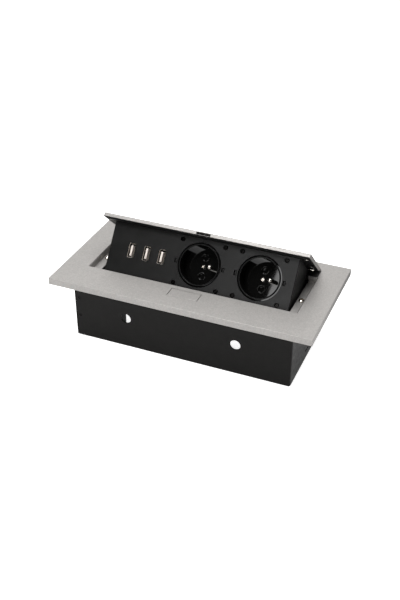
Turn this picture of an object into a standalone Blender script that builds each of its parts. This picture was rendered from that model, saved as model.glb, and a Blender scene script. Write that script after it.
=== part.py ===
"""In-desk power module: a socket unit that tilts up out of a frame set in a desktop.

Metres, +Z up. The origin is the middle of the housing's open bottom rim. X runs along the unit
and +Y points to its back. The tilting unit is laid out closed, in its pivot's own frame, and the
pivot then turns it open. What sits on its face is laid out in the face's own frame.
"""

import math

import bmesh
import bpy
from mathutils import Matrix
from mathutils import Vector

# Overall sizes
UNIT_DEPTH = 0.0680
WINDOW_WIDTH = 0.2170
WINDOW_DEPTH = 0.0793
SIDE_BORDER = 0.0265
FRONT_BORDER = 0.0367
REAR_BORDER = 0.0160
GAP = 0.0003

# Frame
FRAME_THICKNESS = 0.0067
FRAME_SKIN = 0.0020
FRAME_RIM = 0.0040
FRAME_WALL = 0.0016
FRAME_CORNER = 0.0007
FRAME_EDGE = 0.0003
FRAME_RIB = 0.0016
FRAME_RIB_MARGIN = 0.0140
LEDGE_WIDTH = 0.0088
LEDGE_DROP = 0.0061
LEDGE_THICKNESS = 0.0016
WINDOW_FLARE = 0.0010
REAR_BAY = 0.0142

# Housing
SHEET = 0.0012
FOLD_RADIUS = 0.0015
HOUSING_SIDE_MARGIN = 0.0050
HOUSING_INSET = 0.0120
SEAM_FLANGE = 0.0130
SEAM_RIVET_SETBACK = 0.0045
SIDE_RIVET_SETBACK = 0.0085
BRACKET_FOOT = 0.0030
BRACKET_DROP = 0.0100
SEAM_RIVET_DROPS = (0.0239, 0.0446)
SEAM_RIVET_RADIUS = 0.0009
CABLE_HOLE_RADIUS = 0.0053
CABLE_HOLE_SETBACK = 0.0560
CABLE_HOLE_DROP = 0.0351
SIDE_SLOT_LENGTH = 0.0094
SIDE_SLOT_HEIGHT = 0.0020
SIDE_SLOT_Y = -0.0025
SIDE_SLOT_DROP = 0.0586
TAB_WIDTH = 0.0140

# Hinge
PIVOT_FROM_REAR = 0.0067
PIVOT_DROP = 0.0236
OPEN_ANGLE = math.radians(43.4)
SHAFT_RADIUS = 0.0030
HUB_RADIUS = 0.0065
HUB_LENGTH = 0.0080
CLIP_RADIUS = 0.0052
CLIP_THICKNESS = 0.0008
SPRING_WIRE = 0.0006
SPRING_RADIUS = 0.0056
SPRING_TURNS = 5
SPRING_LEG_ANGLE = math.radians(205.0)
SPRING_REST_ANGLE = math.radians(20.0)
PEG_RADIUS = 0.0012
PEG_REACH = 0.0115
STOP_RADIUS = 0.0122
STOP_PIN_RADIUS = 0.0022

# Lid
LID_THICKNESS = 0.0040
LID_SKIN = 0.0018
LID_SIDE_GAP = 0.0005
LID_FRONT_GAP = 0.0009
LID_REAR_GAP = 0.0028
LID_RIM = 0.0014
LID_BEVEL = 0.0122
DECK_SETBACK = 0.0056
LID_TIP = 0.0006
LATCH_SLOT_WIDTH = 0.0148
LATCH_SLOT_TOP = 0.0008
LATCH_SLOT_HEIGHT = 0.0025

# Tilting body
BODY_SIDE_GAP = 0.0022
BODY_WALL = 0.0025
BODY_THIN_WALL = 0.0020
BODY_REAR_RADIUS = 0.0263
ARM_ANGLE = math.radians(72.0)
DECK_LAP = 0.0004
TUB_CEILING = 0.0012
FACE_LEAN = math.radians(6.8)
FACE_SETBACK = 0.0128
FACE_DROP = 0.0305

# Face panel
PANEL_THICKNESS = 0.0025
PANEL_HALF_HEIGHT = 0.0264
PANEL_BEVEL = 0.0006
HOOK_THICKNESS = 0.0014
HOOK_CLEARANCE = 0.0016
FACE_ROW_SHARES = (0.350, 0.132, 0.320)
HOOK_SHARE = 0.56
FACE_SCREW_X = 0.0225
FACE_SCREW_Y = 0.0219
FACE_SCREW_HEAD = 0.0023
FACE_SCREW_SINK = 0.0016
TAB_SLOT_X = 0.0248
TAB_SLOT_WIDTH = 0.0030
SNAP_TAB_CLEARANCE = 0.0006
SNAP_TAB_SINK = 0.0005
TAB_SLOT_HEIGHT = 0.0048
FLANGE_SIDE_MARGIN = 0.0034
FLANGE_END_MARGIN = 0.0022
FLANGE_THICKNESS = 0.0022

# Sockets
RECESS_RADIUS = 0.0196
RECESS_DEPTH = 0.0150
RING_RADIUS = 0.0221
RING_RISE = 0.0006
GROOVE_RADIUS = 0.0207
GROOVE_WIDTH = 0.0005
CUP_WALL = 0.0020
CUP_FLOOR = 0.0020
CONTACT_SPREAD = 0.0095
CONTACT_HOLE = 0.0028
EARTH_OFFSET = 0.0100
EARTH_RADIUS = 0.0024
EARTH_SINK = 0.0010
SLEEVE_RADIUS = 0.0031
SLEEVE_BORE = 0.0025
SLEEVE_LENGTH = 0.0070
CENTRE_SCREW_HEAD = 0.0023
CENTRE_SCREW_HEIGHT = 0.0014
BLOCK_DEPTH = 0.0085
BLOCK_HALF_Y = 0.0145
BLOCK_LEFT = 0.0090
BLOCK_RIGHT = 0.0150

# USB ports
USB_PITCH_SHARE = 0.16923
USB_HEIGHT = 0.0139
USB_WIDTH = 0.0064
USB_WALL = 0.0004
USB_LIP = 0.0007
USB_DEPTH = 0.0120
TONGUE_HEIGHT = 0.0108
TONGUE_WIDTH = 0.0019
TONGUE_OFFSET = -0.0008
BOARD_THICKNESS = 0.0016
BOARD_POST_MARGIN = 0.0070
BOARD_HALF_Y = 0.0120
BOARD_EDGE = 0.0030
SUPPLY_MARGIN = 0.0045
SUPPLY_HALF_Y = 0.0085
SUPPLY_DEPTH = 0.0085

# Release button and latch
BUTTON_WIDTH = 0.0304
BUTTON_DEPTH = 0.0120
BUTTON_FROM_FRONT = 0.0183
BUTTON_CAP = 0.0023
BUTTON_GAP = 0.0005
BUTTON_TRAVEL = 0.0020
LATCH_TRAVEL = 0.0025
LATCH_THICKNESS = 0.0016
LATCH_REACH = 0.0020
LATCH_PLATE_DROP = 0.0080
LATCH_PLATE = 0.0014
CASE_WALL = 0.0016
CASE_CLEARANCE = 0.0020
CASE_SCREW_MARGIN = 0.0078
LATCH_PLATE_MARGIN = 0.0047
LATCH_EAR_MARGIN = 0.0008
LATCH_EAR_THICKNESS = 0.0014
LATCH_RAIL_WIDTH = 0.0020
WEDGE_MARGIN = 0.0065
LATCH_SPRING_RADIUS = 0.0016
LATCH_SPRING_WIRE = 0.00025
LATCH_SPRING_TURNS = 6

# Terminal box
TERMINAL_WIDTH = 0.0390
TERMINAL_DEPTH = 0.0220
TERMINAL_HEIGHT = 0.0320
TERMINAL_RAISE = 0.0060
GLAND_RADIUS = 0.0065
GLAND_BORE = 0.0038

# Places worked out from the sizes above
TOP = UNIT_DEPTH
FRAME_WIDTH = WINDOW_WIDTH + 2 * SIDE_BORDER
FRAME_DEPTH = WINDOW_DEPTH + FRONT_BORDER + REAR_BORDER
FRAME_X = FRAME_WIDTH / 2
FRAME_Y = FRAME_DEPTH / 2
WINDOW_X = WINDOW_WIDTH / 2
WINDOW_FRONT = -FRAME_Y + FRONT_BORDER
WINDOW_REAR = FRAME_Y - REAR_BORDER
BAY_FRONT = WINDOW_REAR - REAR_BAY
LEDGE_X = WINDOW_X - LEDGE_WIDTH
LEDGE_TOP = TOP - LEDGE_DROP
LEDGE_BOTTOM = LEDGE_TOP - LEDGE_THICKNESS
SKIN_BOTTOM = TOP - FRAME_SKIN
HOUSING_X = WINDOW_X + HOUSING_SIDE_MARGIN
HOUSING_Y = FRAME_Y - HOUSING_INSET
HOUSING_IN_X = HOUSING_X - SHEET
HOUSING_IN_Y = HOUSING_Y - SHEET
FRAME_RIB_PITCH = (HOUSING_X - FRAME_RIB_MARGIN) / 2
FRAME_END_RIB_Y = HOUSING_Y - FRAME_RIB_MARGIN
PIVOT = Vector((0, WINDOW_REAR - PIVOT_FROM_REAR, TOP - PIVOT_DROP))
BODY_X = LEDGE_X - BODY_SIDE_GAP
BODY_IN_X = BODY_X - BODY_WALL
LID_X = WINDOW_X - LID_SIDE_GAP
BUTTON_FRONT = -FRAME_Y + BUTTON_FROM_FRONT
BUTTON_REAR = BUTTON_FRONT + BUTTON_DEPTH

# The row on the face: USB board, socket, socket, with the free width shared out between them
FLANGE_HALF_X = FACE_SCREW_X + FLANGE_SIDE_MARGIN
USB_PITCH = BODY_X * USB_PITCH_SHARE
BOARD_HALF_X = USB_PITCH + BOARD_POST_MARGIN
BOARD_WIDTH = 2 * (BOARD_HALF_X + BOARD_EDGE)
FREE_WIDTH = 2 * BODY_IN_X - BOARD_WIDTH - 4 * FLANGE_HALF_X
USB_MIDDLE = -BODY_IN_X + FREE_WIDTH * FACE_ROW_SHARES[0] + BOARD_WIDTH / 2
USB_XS = (USB_MIDDLE - USB_PITCH, USB_MIDDLE, USB_MIDDLE + USB_PITCH)
SOCKET_LEFT = USB_MIDDLE + BOARD_WIDTH / 2 + FREE_WIDTH * FACE_ROW_SHARES[1] + FLANGE_HALF_X
FLANGE_SPACING = FREE_WIDTH * FACE_ROW_SHARES[2]
SOCKET_XS = (SOCKET_LEFT, SOCKET_LEFT + 2 * FLANGE_HALF_X + FLANGE_SPACING)

PARTS = "power_module"
CUTTERS = "cutters"


# Scene and collections

def clear_scene():
    for obj in list(bpy.data.objects):
        bpy.data.objects.remove(obj, do_unlink=True)
    for collection in list(bpy.data.collections):
        bpy.data.collections.remove(collection)


def new_collection(name):
    collection = bpy.data.collections.new(name)
    bpy.context.scene.collection.children.link(collection)
    return collection


def material(name, colour, roughness, metallic=0.0):
    mat = bpy.data.materials.get(name)
    if mat is not None:
        return mat
    mat = bpy.data.materials.new(name)
    mat.use_nodes = True
    shader = mat.node_tree.nodes["Principled BSDF"]
    shader.inputs["Base Color"].default_value = (*colour, 1.0)
    shader.inputs["Roughness"].default_value = roughness
    shader.inputs["Metallic"].default_value = metallic
    mat.diffuse_color = (*colour, 1.0)
    return mat


def satin_aluminium():
    return material("satin_aluminium", (0.62, 0.60, 0.58), 0.42, 1.0)


def black_steel():
    return material("black_steel", (0.018, 0.017, 0.016), 0.50)


def black_plastic():
    return material("black_plastic", (0.020, 0.020, 0.021), 0.45)


def gloss_black():
    return material("gloss_black", (0.012, 0.012, 0.013), 0.12)


def bright_steel():
    return material("bright_steel", (0.72, 0.72, 0.72), 0.25, 1.0)


def dark_steel():
    return material("dark_steel", (0.10, 0.10, 0.10), 0.40, 1.0)


def brass():
    return material("brass", (0.75, 0.58, 0.26), 0.30, 1.0)


def ivory_plastic():
    return material("ivory_plastic", (0.80, 0.77, 0.70), 0.40)


def board_green():
    return material("board_green", (0.02, 0.14, 0.06), 0.45)


def rubber_black():
    return material("rubber_black", (0.015, 0.015, 0.015), 0.80)


# Shape helpers

def link(obj, mat, parent=None):
    bpy.data.collections[PARTS].objects.link(obj)
    if mat is not None:
        obj.data.materials.clear()
        obj.data.materials.append(mat)
    obj.parent = parent
    return obj


def from_bmesh(name, bm, mat, parent=None):
    mesh = bpy.data.meshes.new(name)
    bm.to_mesh(mesh)
    bm.free()
    return link(bpy.data.objects.new(name, mesh), mat, parent)


def smooth(obj, angle=35.0):
    obj.data.shade_smooth()
    obj.data.set_sharp_from_angle(angle=math.radians(angle))
    return obj


def block(name, low, high, mat=None, parent=None):
    low = Vector(low)
    high = Vector(high)
    size = high - low
    bm = bmesh.new()
    place = Matrix.Translation((low + high) / 2) @ Matrix.Diagonal((*size, 1.0))
    bmesh.ops.create_cube(bm, size=1.0, matrix=place)
    return from_bmesh(name, bm, mat, parent)


def flared_block(name, low, high, flare):
    obj = block(name, low, high)
    middle = (Vector(low) + Vector(high)) / 2
    for vertex in obj.data.vertices:
        if vertex.co.z > middle.z:
            vertex.co.x += math.copysign(flare, vertex.co.x - middle.x)
            vertex.co.y += math.copysign(flare, vertex.co.y - middle.y)
    return obj


def rounded_block(name, low, high, mat, corner, edge, parent=None, corner_steps=4, edge_steps=2):
    obj = block(name, low, high, mat, parent)
    bm = bmesh.new()
    bm.from_mesh(obj.data)
    upright = [e for e in bm.edges if abs(e.verts[0].co.z - e.verts[1].co.z) > 1e-6]
    bmesh.ops.bevel(bm, geom=upright, offset=corner, segments=corner_steps, profile=0.5, affect="EDGES")
    if edge > 0:
        top = max(v.co.z for v in bm.verts)
        rim = [e for e in bm.edges if all(v.co.z > top - 1e-6 for v in e.verts)]
        bmesh.ops.bevel(bm, geom=rim, offset=edge, segments=edge_steps, profile=0.5, affect="EDGES")
    bm.to_mesh(obj.data)
    bm.free()
    return obj


def rod(name, radius, start, end, mat=None, parent=None, steps=32, end_radius=None):
    start = Vector(start)
    end = Vector(end)
    way = end - start
    bm = bmesh.new()
    turn = way.to_track_quat("Z", "Y").to_matrix().to_4x4()
    place = Matrix.Translation((start + end) / 2) @ turn
    bmesh.ops.create_cone(bm, cap_ends=True, segments=steps, radius1=radius,
                          radius2=radius if end_radius is None else end_radius,
                          depth=way.length, matrix=place)
    return smooth(from_bmesh(name, bm, mat, parent))


def evaluated_mesh(obj):
    bpy.context.view_layer.update()
    graph = bpy.context.evaluated_depsgraph_get()
    return bpy.data.meshes.new_from_object(obj.evaluated_get(graph))


def curve_to_mesh(obj, mat):
    mesh = evaluated_mesh(obj)
    bm = bmesh.new()
    bm.from_mesh(mesh)
    bmesh.ops.remove_doubles(bm, verts=bm.verts, dist=1e-6)
    bm.to_mesh(mesh)
    bm.free()
    name = obj.name
    parent = obj.parent
    matrix = obj.matrix_local.copy()
    bpy.data.objects.remove(obj, do_unlink=True)
    solid = link(bpy.data.objects.new(name, mesh), mat, parent)
    solid.matrix_local = matrix
    return solid


def extruded(name, outline, start, end, turn, mat=None, parent=None):
    curve = bpy.data.curves.new(name, "CURVE")
    curve.dimensions = "2D"
    curve.fill_mode = "BOTH"
    curve.extrude = (end - start) / 2
    spline = curve.splines.new("POLY")
    spline.points.add(len(outline) - 1)
    for point, (u, v) in zip(spline.points, outline):
        point.co = (u, v, 0, 1)
    spline.use_cyclic_u = True
    obj = link(bpy.data.objects.new(name, curve), None, parent)
    obj.matrix_local = turn @ Matrix.Translation((0, 0, (start + end) / 2))
    return smooth(curve_to_mesh(obj, mat))


def plan_plate(name, outline, low, high, mat=None, parent=None):
    """Flat outline in XY, from height low to height high."""
    return extruded(name, outline, low, high, Matrix.Identity(4), mat, parent)


def cross_section(name, outline, left, right, mat=None, parent=None):
    """Outline in YZ, drawn out along X from left to right."""
    turn = Matrix(((0, 0, 1, 0), (1, 0, 0, 0), (0, 1, 0, 0), (0, 0, 0, 1)))
    return extruded(name, outline, left, right, turn, mat, parent)


def turned(name, profile, mat=None, parent=None, steps=32):
    """Profile of (radius, height) points turned about Z, listed from top to bottom."""
    mesh = bpy.data.meshes.new(name)
    points = [(radius, 0, height) for radius, height in profile]
    mesh.from_pydata(points, [(i, i + 1) for i in range(len(points) - 1)], [])
    obj = link(bpy.data.objects.new(name, mesh), mat, parent)
    screw = obj.modifiers.new("turn", "SCREW")
    screw.axis = "Z"
    screw.steps = steps
    screw.render_steps = steps
    screw.use_merge_vertices = True
    screw.merge_threshold = 1e-6
    solid = evaluated_mesh(obj)
    obj.modifiers.clear()
    obj.data = solid
    return smooth(obj)


def arc(centre, radius, start, end, steps):
    """Points on a circle, angles in radians from +u towards +v, both ends included."""
    angles = [start + (end - start) * i / steps for i in range(steps + 1)]
    return [(centre[0] + radius * math.cos(a), centre[1] + radius * math.sin(a)) for a in angles]


def rounded_rectangle(width, height, radius, steps=3, centre=(0, 0)):
    points = []
    for quarter, (su, sv) in enumerate(((1, 1), (-1, 1), (-1, -1), (1, -1))):
        corner = (centre[0] + su * (width / 2 - radius), centre[1] + sv * (height / 2 - radius))
        start = quarter * math.pi / 2
        points += arc(corner, radius, start, start + math.pi / 2, steps)
    return points


def fold_outline(points, radius, thickness, steps=4):
    """Outline of a folded strip of sheet, from the middle line's corner points."""
    route = [(Vector(points[0]), (Vector(points[1]) - Vector(points[0])).normalized())]
    for before, corner, after in zip(points, points[1:], points[2:]):
        corner = Vector(corner)
        into = (corner - Vector(before)).normalized()
        out = (Vector(after) - corner).normalized()
        turn = into.angle_signed(out)
        set_back = radius * math.tan(abs(turn) / 2)
        for i in range(steps + 1):
            share = i / steps
            heading = Vector(into)
            heading.rotate(Matrix.Rotation(-turn * share, 2))
            side = -math.copysign(1.0, turn)
            normal = Vector((-into.y, into.x)) * side
            centre = corner - into * set_back + normal * radius
            spoke = Vector((heading.y, -heading.x)) * side
            route.append((centre + spoke * radius, heading))
    last = (Vector(points[-1]) - Vector(points[-2])).normalized()
    route.append((Vector(points[-1]), last))
    left = [place + Vector((-way.y, way.x)) * thickness / 2 for place, way in route]
    right = [place - Vector((-way.y, way.x)) * thickness / 2 for place, way in route]
    return [tuple(p) for p in right + left[::-1]]


def move_to_cutters(obj):
    for collection in list(obj.users_collection):
        collection.objects.unlink(obj)
    bpy.data.collections[CUTTERS].objects.link(obj)
    obj.hide_render = True
    obj.display_type = "WIRE"


def follow(tool, parent):
    """Puts a cutter, and the cutters that shape it, in the frame of the piece it cuts."""
    tool.parent = parent
    for modifier in tool.modifiers:
        if modifier.type == "BOOLEAN":
            follow(modifier.object, parent)


def combine(target, tool, operation):
    follow(tool, target.parent)
    move_to_cutters(tool)
    modifier = target.modifiers.new(tool.name, "BOOLEAN")
    modifier.operation = operation
    modifier.solver = "EXACT"
    modifier.object = tool


def cut(target, *tools):
    for tool in tools:
        combine(target, tool, "DIFFERENCE")
    return target


def join(target, *tools):
    for tool in tools:
        combine(target, tool, "UNION")
    return target


def frame_of(name, location, turn_x, parent=None):
    """An empty that carries pieces laid out in its own frame."""
    empty = bpy.data.objects.new(name, None)
    bpy.data.collections[PARTS].objects.link(empty)
    empty.location = location
    empty.rotation_euler = (turn_x, 0, 0)
    empty.parent = parent
    return empty


def copy_of(source, name, offset):
    twin = bpy.data.objects.new(name, source.data)
    bpy.data.collections[PARTS].objects.link(twin)
    twin.parent = source.parent
    twin.matrix_local = Matrix.Translation(offset) @ source.matrix_local
    return twin


def settle(obj):
    """Keeps the shape that the modifiers give, so that copies can share it."""
    mesh = evaluated_mesh(obj)
    obj.modifiers.clear()
    obj.data = mesh
    return obj


# Screws

def cross_recess(name, radius, depth):
    """A cross for a driver, standing on height zero and reaching down by depth."""
    long = radius * 0.62
    thin = radius * 0.17
    first = block(name, (-long, -thin, -depth), (long, thin, radius))
    second = block(name + "_arm", (-thin, -long, -depth), (thin, long, radius))
    return join(first, second)


def pan_screw(name, head, head_height, shank, length, mat, parent=None, steps=16):
    """A screw with its head standing on height zero and its shank pointing down."""
    dome = head_height * 0.35
    profile = [
        (0, head_height),
        (head * 0.72, head_height),
        (head, head_height - dome),
        (head, 0),
        (shank, 0),
        (shank, -length + shank * 0.6),
        (shank * 0.45, -length),
        (0, -length),
    ]
    screw = turned(name, profile, mat, parent, steps)
    recess = cross_recess(name + "_recess", head, head_height * 0.5)
    for part in (recess, bpy.data.objects[name + "_recess_arm"]):
        part.location.z += head_height
    cut(screw, recess)
    return settle(screw)


# Frame

def make_bezel_frame():
    frame = rounded_block("bezel_frame", (-FRAME_X, -FRAME_Y, TOP - FRAME_THICKNESS),
                          (FRAME_X, FRAME_Y, TOP), satin_aluminium(), FRAME_CORNER, FRAME_EDGE)
    below = TOP - FRAME_THICKNESS - 0.001
    hollow_x = FRAME_X - FRAME_RIM
    hollow_y = FRAME_Y - FRAME_RIM
    cut(frame, block("frame_hollow", (-hollow_x, -hollow_y, below), (hollow_x, hollow_y, SKIN_BOTTOM)))
    rib_foot = TOP - FRAME_THICKNESS + 0.0007
    rib_head = SKIN_BOTTOM + FRAME_SKIN / 2
    add_frame_ribs(frame, hollow_x, hollow_y, rib_foot, rib_head)
    join(frame, block("window_walls", (-WINDOW_X - FRAME_WALL, WINDOW_FRONT - FRAME_WALL, LEDGE_BOTTOM),
                      (WINDOW_X + FRAME_WALL, WINDOW_REAR + FRAME_WALL, rib_head)))
    for side in (-1, 1):
        x = side * CASE_SCREW_X
        y = (BUTTON_FRONT + BUTTON_REAR) / 2
        join(frame, rod("case_boss", 0.0032, (x, y, rib_head), (x, y, CASE_EAR_TOP + GAP), steps=16))
        cut(frame, rod("case_boss_bore", 0.0013, (x, y, SKIN_BOTTOM), (x, y, below - 0.002), steps=12))
    cut_window(frame)
    cut_button_opening(frame)
    for side in (-1, 1):
        x = side * (LEDGE_X + LEDGE_WIDTH / 2)
        cut(frame, rod("ledge_hole", 0.0018, (x, 0, LEDGE_BOTTOM - 0.001), (x, 0, LEDGE_TOP + 0.001), steps=16))
    return frame


def add_frame_ribs(frame, hollow_x, hollow_y, foot, head):
    """A rib that rings the housing, and short ribs from it to the rim."""
    ring_x = HOUSING_X + GAP
    ring_y = HOUSING_Y + GAP
    ring = block("housing_rib", (-ring_x - FRAME_RIB, -ring_y - FRAME_RIB, foot),
                 (ring_x + FRAME_RIB, ring_y + FRAME_RIB, head))
    cut(ring, block("housing_rib_inside", (-ring_x, -ring_y, foot - 0.001), (ring_x, ring_y, head + 0.001)))
    join(frame, ring)
    for x in (-2 * FRAME_RIB_PITCH, -FRAME_RIB_PITCH, 0.0, FRAME_RIB_PITCH, 2 * FRAME_RIB_PITCH):
        for side in (-1, 1):
            near = side * (ring_y + FRAME_RIB / 2)
            far = side * (hollow_y + FRAME_RIM / 2)
            low = (x - FRAME_RIB / 2, min(near, far), foot)
            high = (x + FRAME_RIB / 2, max(near, far), head)
            join(frame, block("frame_rib", low, high))
    for y in (-FRAME_END_RIB_Y, 0.0, FRAME_END_RIB_Y):
        for side in (-1, 1):
            near = side * (ring_x + FRAME_RIB / 2)
            far = side * (hollow_x + FRAME_RIM / 2)
            low = (min(near, far), y - FRAME_RIB / 2, foot)
            high = (max(near, far), y + FRAME_RIB / 2, head)
            join(frame, block("frame_rib", low, high))


def cut_window(frame):
    """The window: open in the middle, with a ledge along each end and a bay for the rear bar."""
    low = LEDGE_BOTTOM - 0.001
    high = TOP + 0.001
    cut(frame, block("window_through", (-LEDGE_X, WINDOW_FRONT, low), (LEDGE_X, WINDOW_REAR, high)))
    spans = ((WINDOW_FRONT, BAY_FRONT), (BAY_FRONT + FRAME_WALL, WINDOW_REAR))
    for front, rear in spans:
        cut(frame, block("window_step", (-WINDOW_X, front, LEDGE_TOP), (WINDOW_X, rear, high)))
    cut(frame, flared_block("window_flare", (-WINDOW_X, WINDOW_FRONT, TOP - WINDOW_FLARE),
                            (WINDOW_X, BAY_FRONT, TOP + WINDOW_FLARE), 2 * WINDOW_FLARE))


def cut_button_opening(frame):
    low = (-BUTTON_WIDTH / 2 - BUTTON_GAP, BUTTON_FRONT - BUTTON_GAP)
    high = (BUTTON_WIDTH / 2 + BUTTON_GAP, BUTTON_REAR + GAP)
    cut(frame, block("button_opening", (*low, SKIN_BOTTOM - 0.001), (*high, TOP + 0.001)))
    half = LATCH_SLOT_WIDTH / 2 - 0.0002
    pocket_low = (-half, BUTTON_REAR + 2 * GAP, TOP - LATCH_TONGUE_TOP - LATCH_THICKNESS - 0.0005)
    pocket_high = (half, WINDOW_FRONT + 0.001, TOP - LATCH_TONGUE_TOP + 0.0004)
    cut(frame, block("latch_pocket", pocket_low, pocket_high))


def make_rear_bar():
    """The black bar that closes the window behind the lid, hollow below, clipped over the ledges."""
    half = WINDOW_X - GAP
    front = BAY_FRONT + FRAME_WALL + GAP
    rear = WINDOW_REAR - GAP
    foot = LEDGE_TOP + GAP
    bar = rounded_block("rear_bar", (-half, front, foot), (half, rear, TOP), black_plastic(), 0.0004, 0.0004,
                        corner_steps=1)
    wall = 0.0016
    cut(bar, block("rear_bar_hollow", (-half + 2 * wall, front + wall, foot - 0.001),
                   (half - 2 * wall, rear - wall, TOP - wall)))
    for side in (-1, 1):
        outer = side * (LEDGE_X - GAP)
        inner = side * (LEDGE_X - GAP - 0.0014)
        leg_foot = LEDGE_BOTTOM - 0.0024
        barb = [
            (outer - side * 0.0004, leg_foot),
            (outer + side * 0.0010, LEDGE_BOTTOM - GAP),
            (outer - side * 0.0004, LEDGE_BOTTOM - GAP),
        ]
        low = (min(outer, inner), rear - wall - 0.0018, leg_foot)
        high = (max(outer, inner), rear - wall + 0.0005, TOP - wall / 2)
        join(bar, block("rear_bar_leg", low, high))
        turn = Matrix(((1, 0, 0, 0), (0, 0, -1, 0), (0, 1, 0, 0), (0, 0, 0, 1)))
        hook = barb if side > 0 else barb[::-1]
        join(bar, extruded("rear_bar_barb", hook, -(high[1] - 0.0002), -(low[1] + 0.0002), turn))
    return bar


# Housing

def make_housing():
    """One sheet wrapped round the four sides, its two ends meeting at the front left corner."""
    middle_x = HOUSING_X - SHEET / 2
    middle_y = HOUSING_Y - SHEET / 2
    route = [
        (-HOUSING_X + SHEET + GAP, -middle_y),
        (middle_x, -middle_y),
        (middle_x, middle_y),
        (-middle_x, middle_y),
        (-middle_x, -HOUSING_Y),
    ]
    outline = fold_outline(route, FOLD_RADIUS, SHEET)
    housing = plan_plate("housing", outline, 0, SKIN_BOTTOM - GAP, black_steel())
    tab_top = LEDGE_BOTTOM - GAP
    screw_x = LEDGE_X + LEDGE_WIDTH / 2
    for side in (-1, 1):
        wall_out = side * (HOUSING_X + 0.001)
        wall_in = side * (HOUSING_IN_X - 0.001)
        half = TAB_WIDTH / 2
        cut(housing, block("tab_notch", (min(wall_out, wall_in), -half - 0.001, tab_top),
                           (max(wall_out, wall_in), half + 0.001, TOP)))
        tip = side * (LEDGE_X + GAP)
        root = side * (HOUSING_X - SHEET / 2)
        join(housing, block("ledge_tab", (min(tip, root), -half, tab_top - SHEET),
                            (max(tip, root), half, tab_top)))
        cut(housing, rod("tab_hole", 0.0018, (side * screw_x, 0, tab_top - 0.003),
                         (side * screw_x, 0, tab_top + 0.001), steps=16))
        far = side * (HOUSING_X + 0.001)
        near = side * (HOUSING_IN_X - 0.001)
        cut(housing, side_slot(min(far, near), max(far, near)))
        cut(housing, rod("shaft_hole", SHAFT_RADIUS + GAP, (far, PIVOT.y, PIVOT.z), (near, PIVOT.y, PIVOT.z),
                         steps=24))
        stop = stop_place()
        cut(housing, rod("stop_hole", STOP_PIN_RADIUS + GAP, (far, *stop), (near, *stop), steps=20))
        hole_x = side * (HOUSING_X - CABLE_HOLE_SETBACK)
        hole_z = TOP - CABLE_HOLE_DROP
        cut(housing, rod("cable_hole", CABLE_HOLE_RADIUS, (hole_x, -HOUSING_Y - 0.001, hole_z),
                         (hole_x, HOUSING_Y + 0.001, hole_z), steps=28))
    cut(housing, *rivet_holes())
    return housing


def rivet_holes():
    """Holes for the corner's rivets: two through the front wall and two through the side wall."""
    holes = []
    for drop in SEAM_RIVET_DROPS:
        z = TOP - drop
        x = -HOUSING_X + SEAM_RIVET_SETBACK
        y = -HOUSING_Y + SIDE_RIVET_SETBACK
        holes.append(rod("front_rivet_hole", SEAM_RIVET_RADIUS + GAP, (x, -HOUSING_Y - 0.001, z),
                         (x, -HOUSING_Y + 4 * SHEET, z), steps=12))
        holes.append(rod("side_rivet_hole", SEAM_RIVET_RADIUS + GAP, (-HOUSING_X - 0.001, y, z),
                         (-HOUSING_X + 4 * SHEET, y, z), steps=12))
    return holes


def make_corner_bracket():
    """A folded angle inside the corner, which ties the two ends of the sheet together."""
    inset = SHEET + GAP + SHEET / 2
    route = [
        (-HOUSING_X + inset, -HOUSING_Y + SEAM_FLANGE),
        (-HOUSING_X + inset, -HOUSING_Y + inset),
        (-HOUSING_X + SEAM_FLANGE, -HOUSING_Y + inset),
    ]
    outline = fold_outline(route, FOLD_RADIUS, SHEET)
    bracket = plan_plate("corner_bracket", outline, BRACKET_FOOT, TOP - BRACKET_DROP, black_steel())
    cut(bracket, *rivet_holes())


def side_slot(left, right):
    half = (SIDE_SLOT_LENGTH - SIDE_SLOT_HEIGHT) / 2
    radius = SIDE_SLOT_HEIGHT / 2
    z = TOP - SIDE_SLOT_DROP
    outline = arc((SIDE_SLOT_Y + half, z), radius, -math.pi / 2, math.pi / 2, 6)
    outline += arc((SIDE_SLOT_Y - half, z), radius, math.pi / 2, 3 * math.pi / 2, 6)
    return cross_section("side_slot", outline, left, right)


def make_seam_rivets():
    head = SEAM_RIVET_RADIUS + 0.0006
    stack = 2 * SHEET + GAP
    tail = stack + 2 * GAP
    profile = [
        (0, 0.0006),
        (head * 0.6, 0.0005),
        (head, 0),
        (SEAM_RIVET_RADIUS, 0),
        (SEAM_RIVET_RADIUS, -tail),
        (head, -tail),
        (head * 0.7, -tail - 0.0008),
        (0, -tail - 0.0008),
    ]
    labels = ("upper", "lower")
    for label, drop in zip(labels, SEAM_RIVET_DROPS):
        front = turned(f"front_rivet_{label}", profile, dark_steel(), steps=8)
        front.location = (-HOUSING_X + SEAM_RIVET_SETBACK, -HOUSING_Y - GAP, TOP - drop)
        front.rotation_euler = (math.radians(90), 0, 0)
        side = turned(f"side_rivet_{label}", profile, dark_steel(), steps=8)
        side.location = (-HOUSING_X - GAP, -HOUSING_Y + SIDE_RIVET_SETBACK, TOP - drop)
        side.rotation_euler = (0, math.radians(-90), 0)


def make_frame_screws():
    for name, side in (("frame_screw_left", -1), ("frame_screw_right", 1)):
        screw = pan_screw(name, 0.00285, 0.0015, 0.0014, 0.0085, bright_steel())
        screw.location = (side * (LEDGE_X + LEDGE_WIDTH / 2), 0, LEDGE_TOP + GAP)


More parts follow.
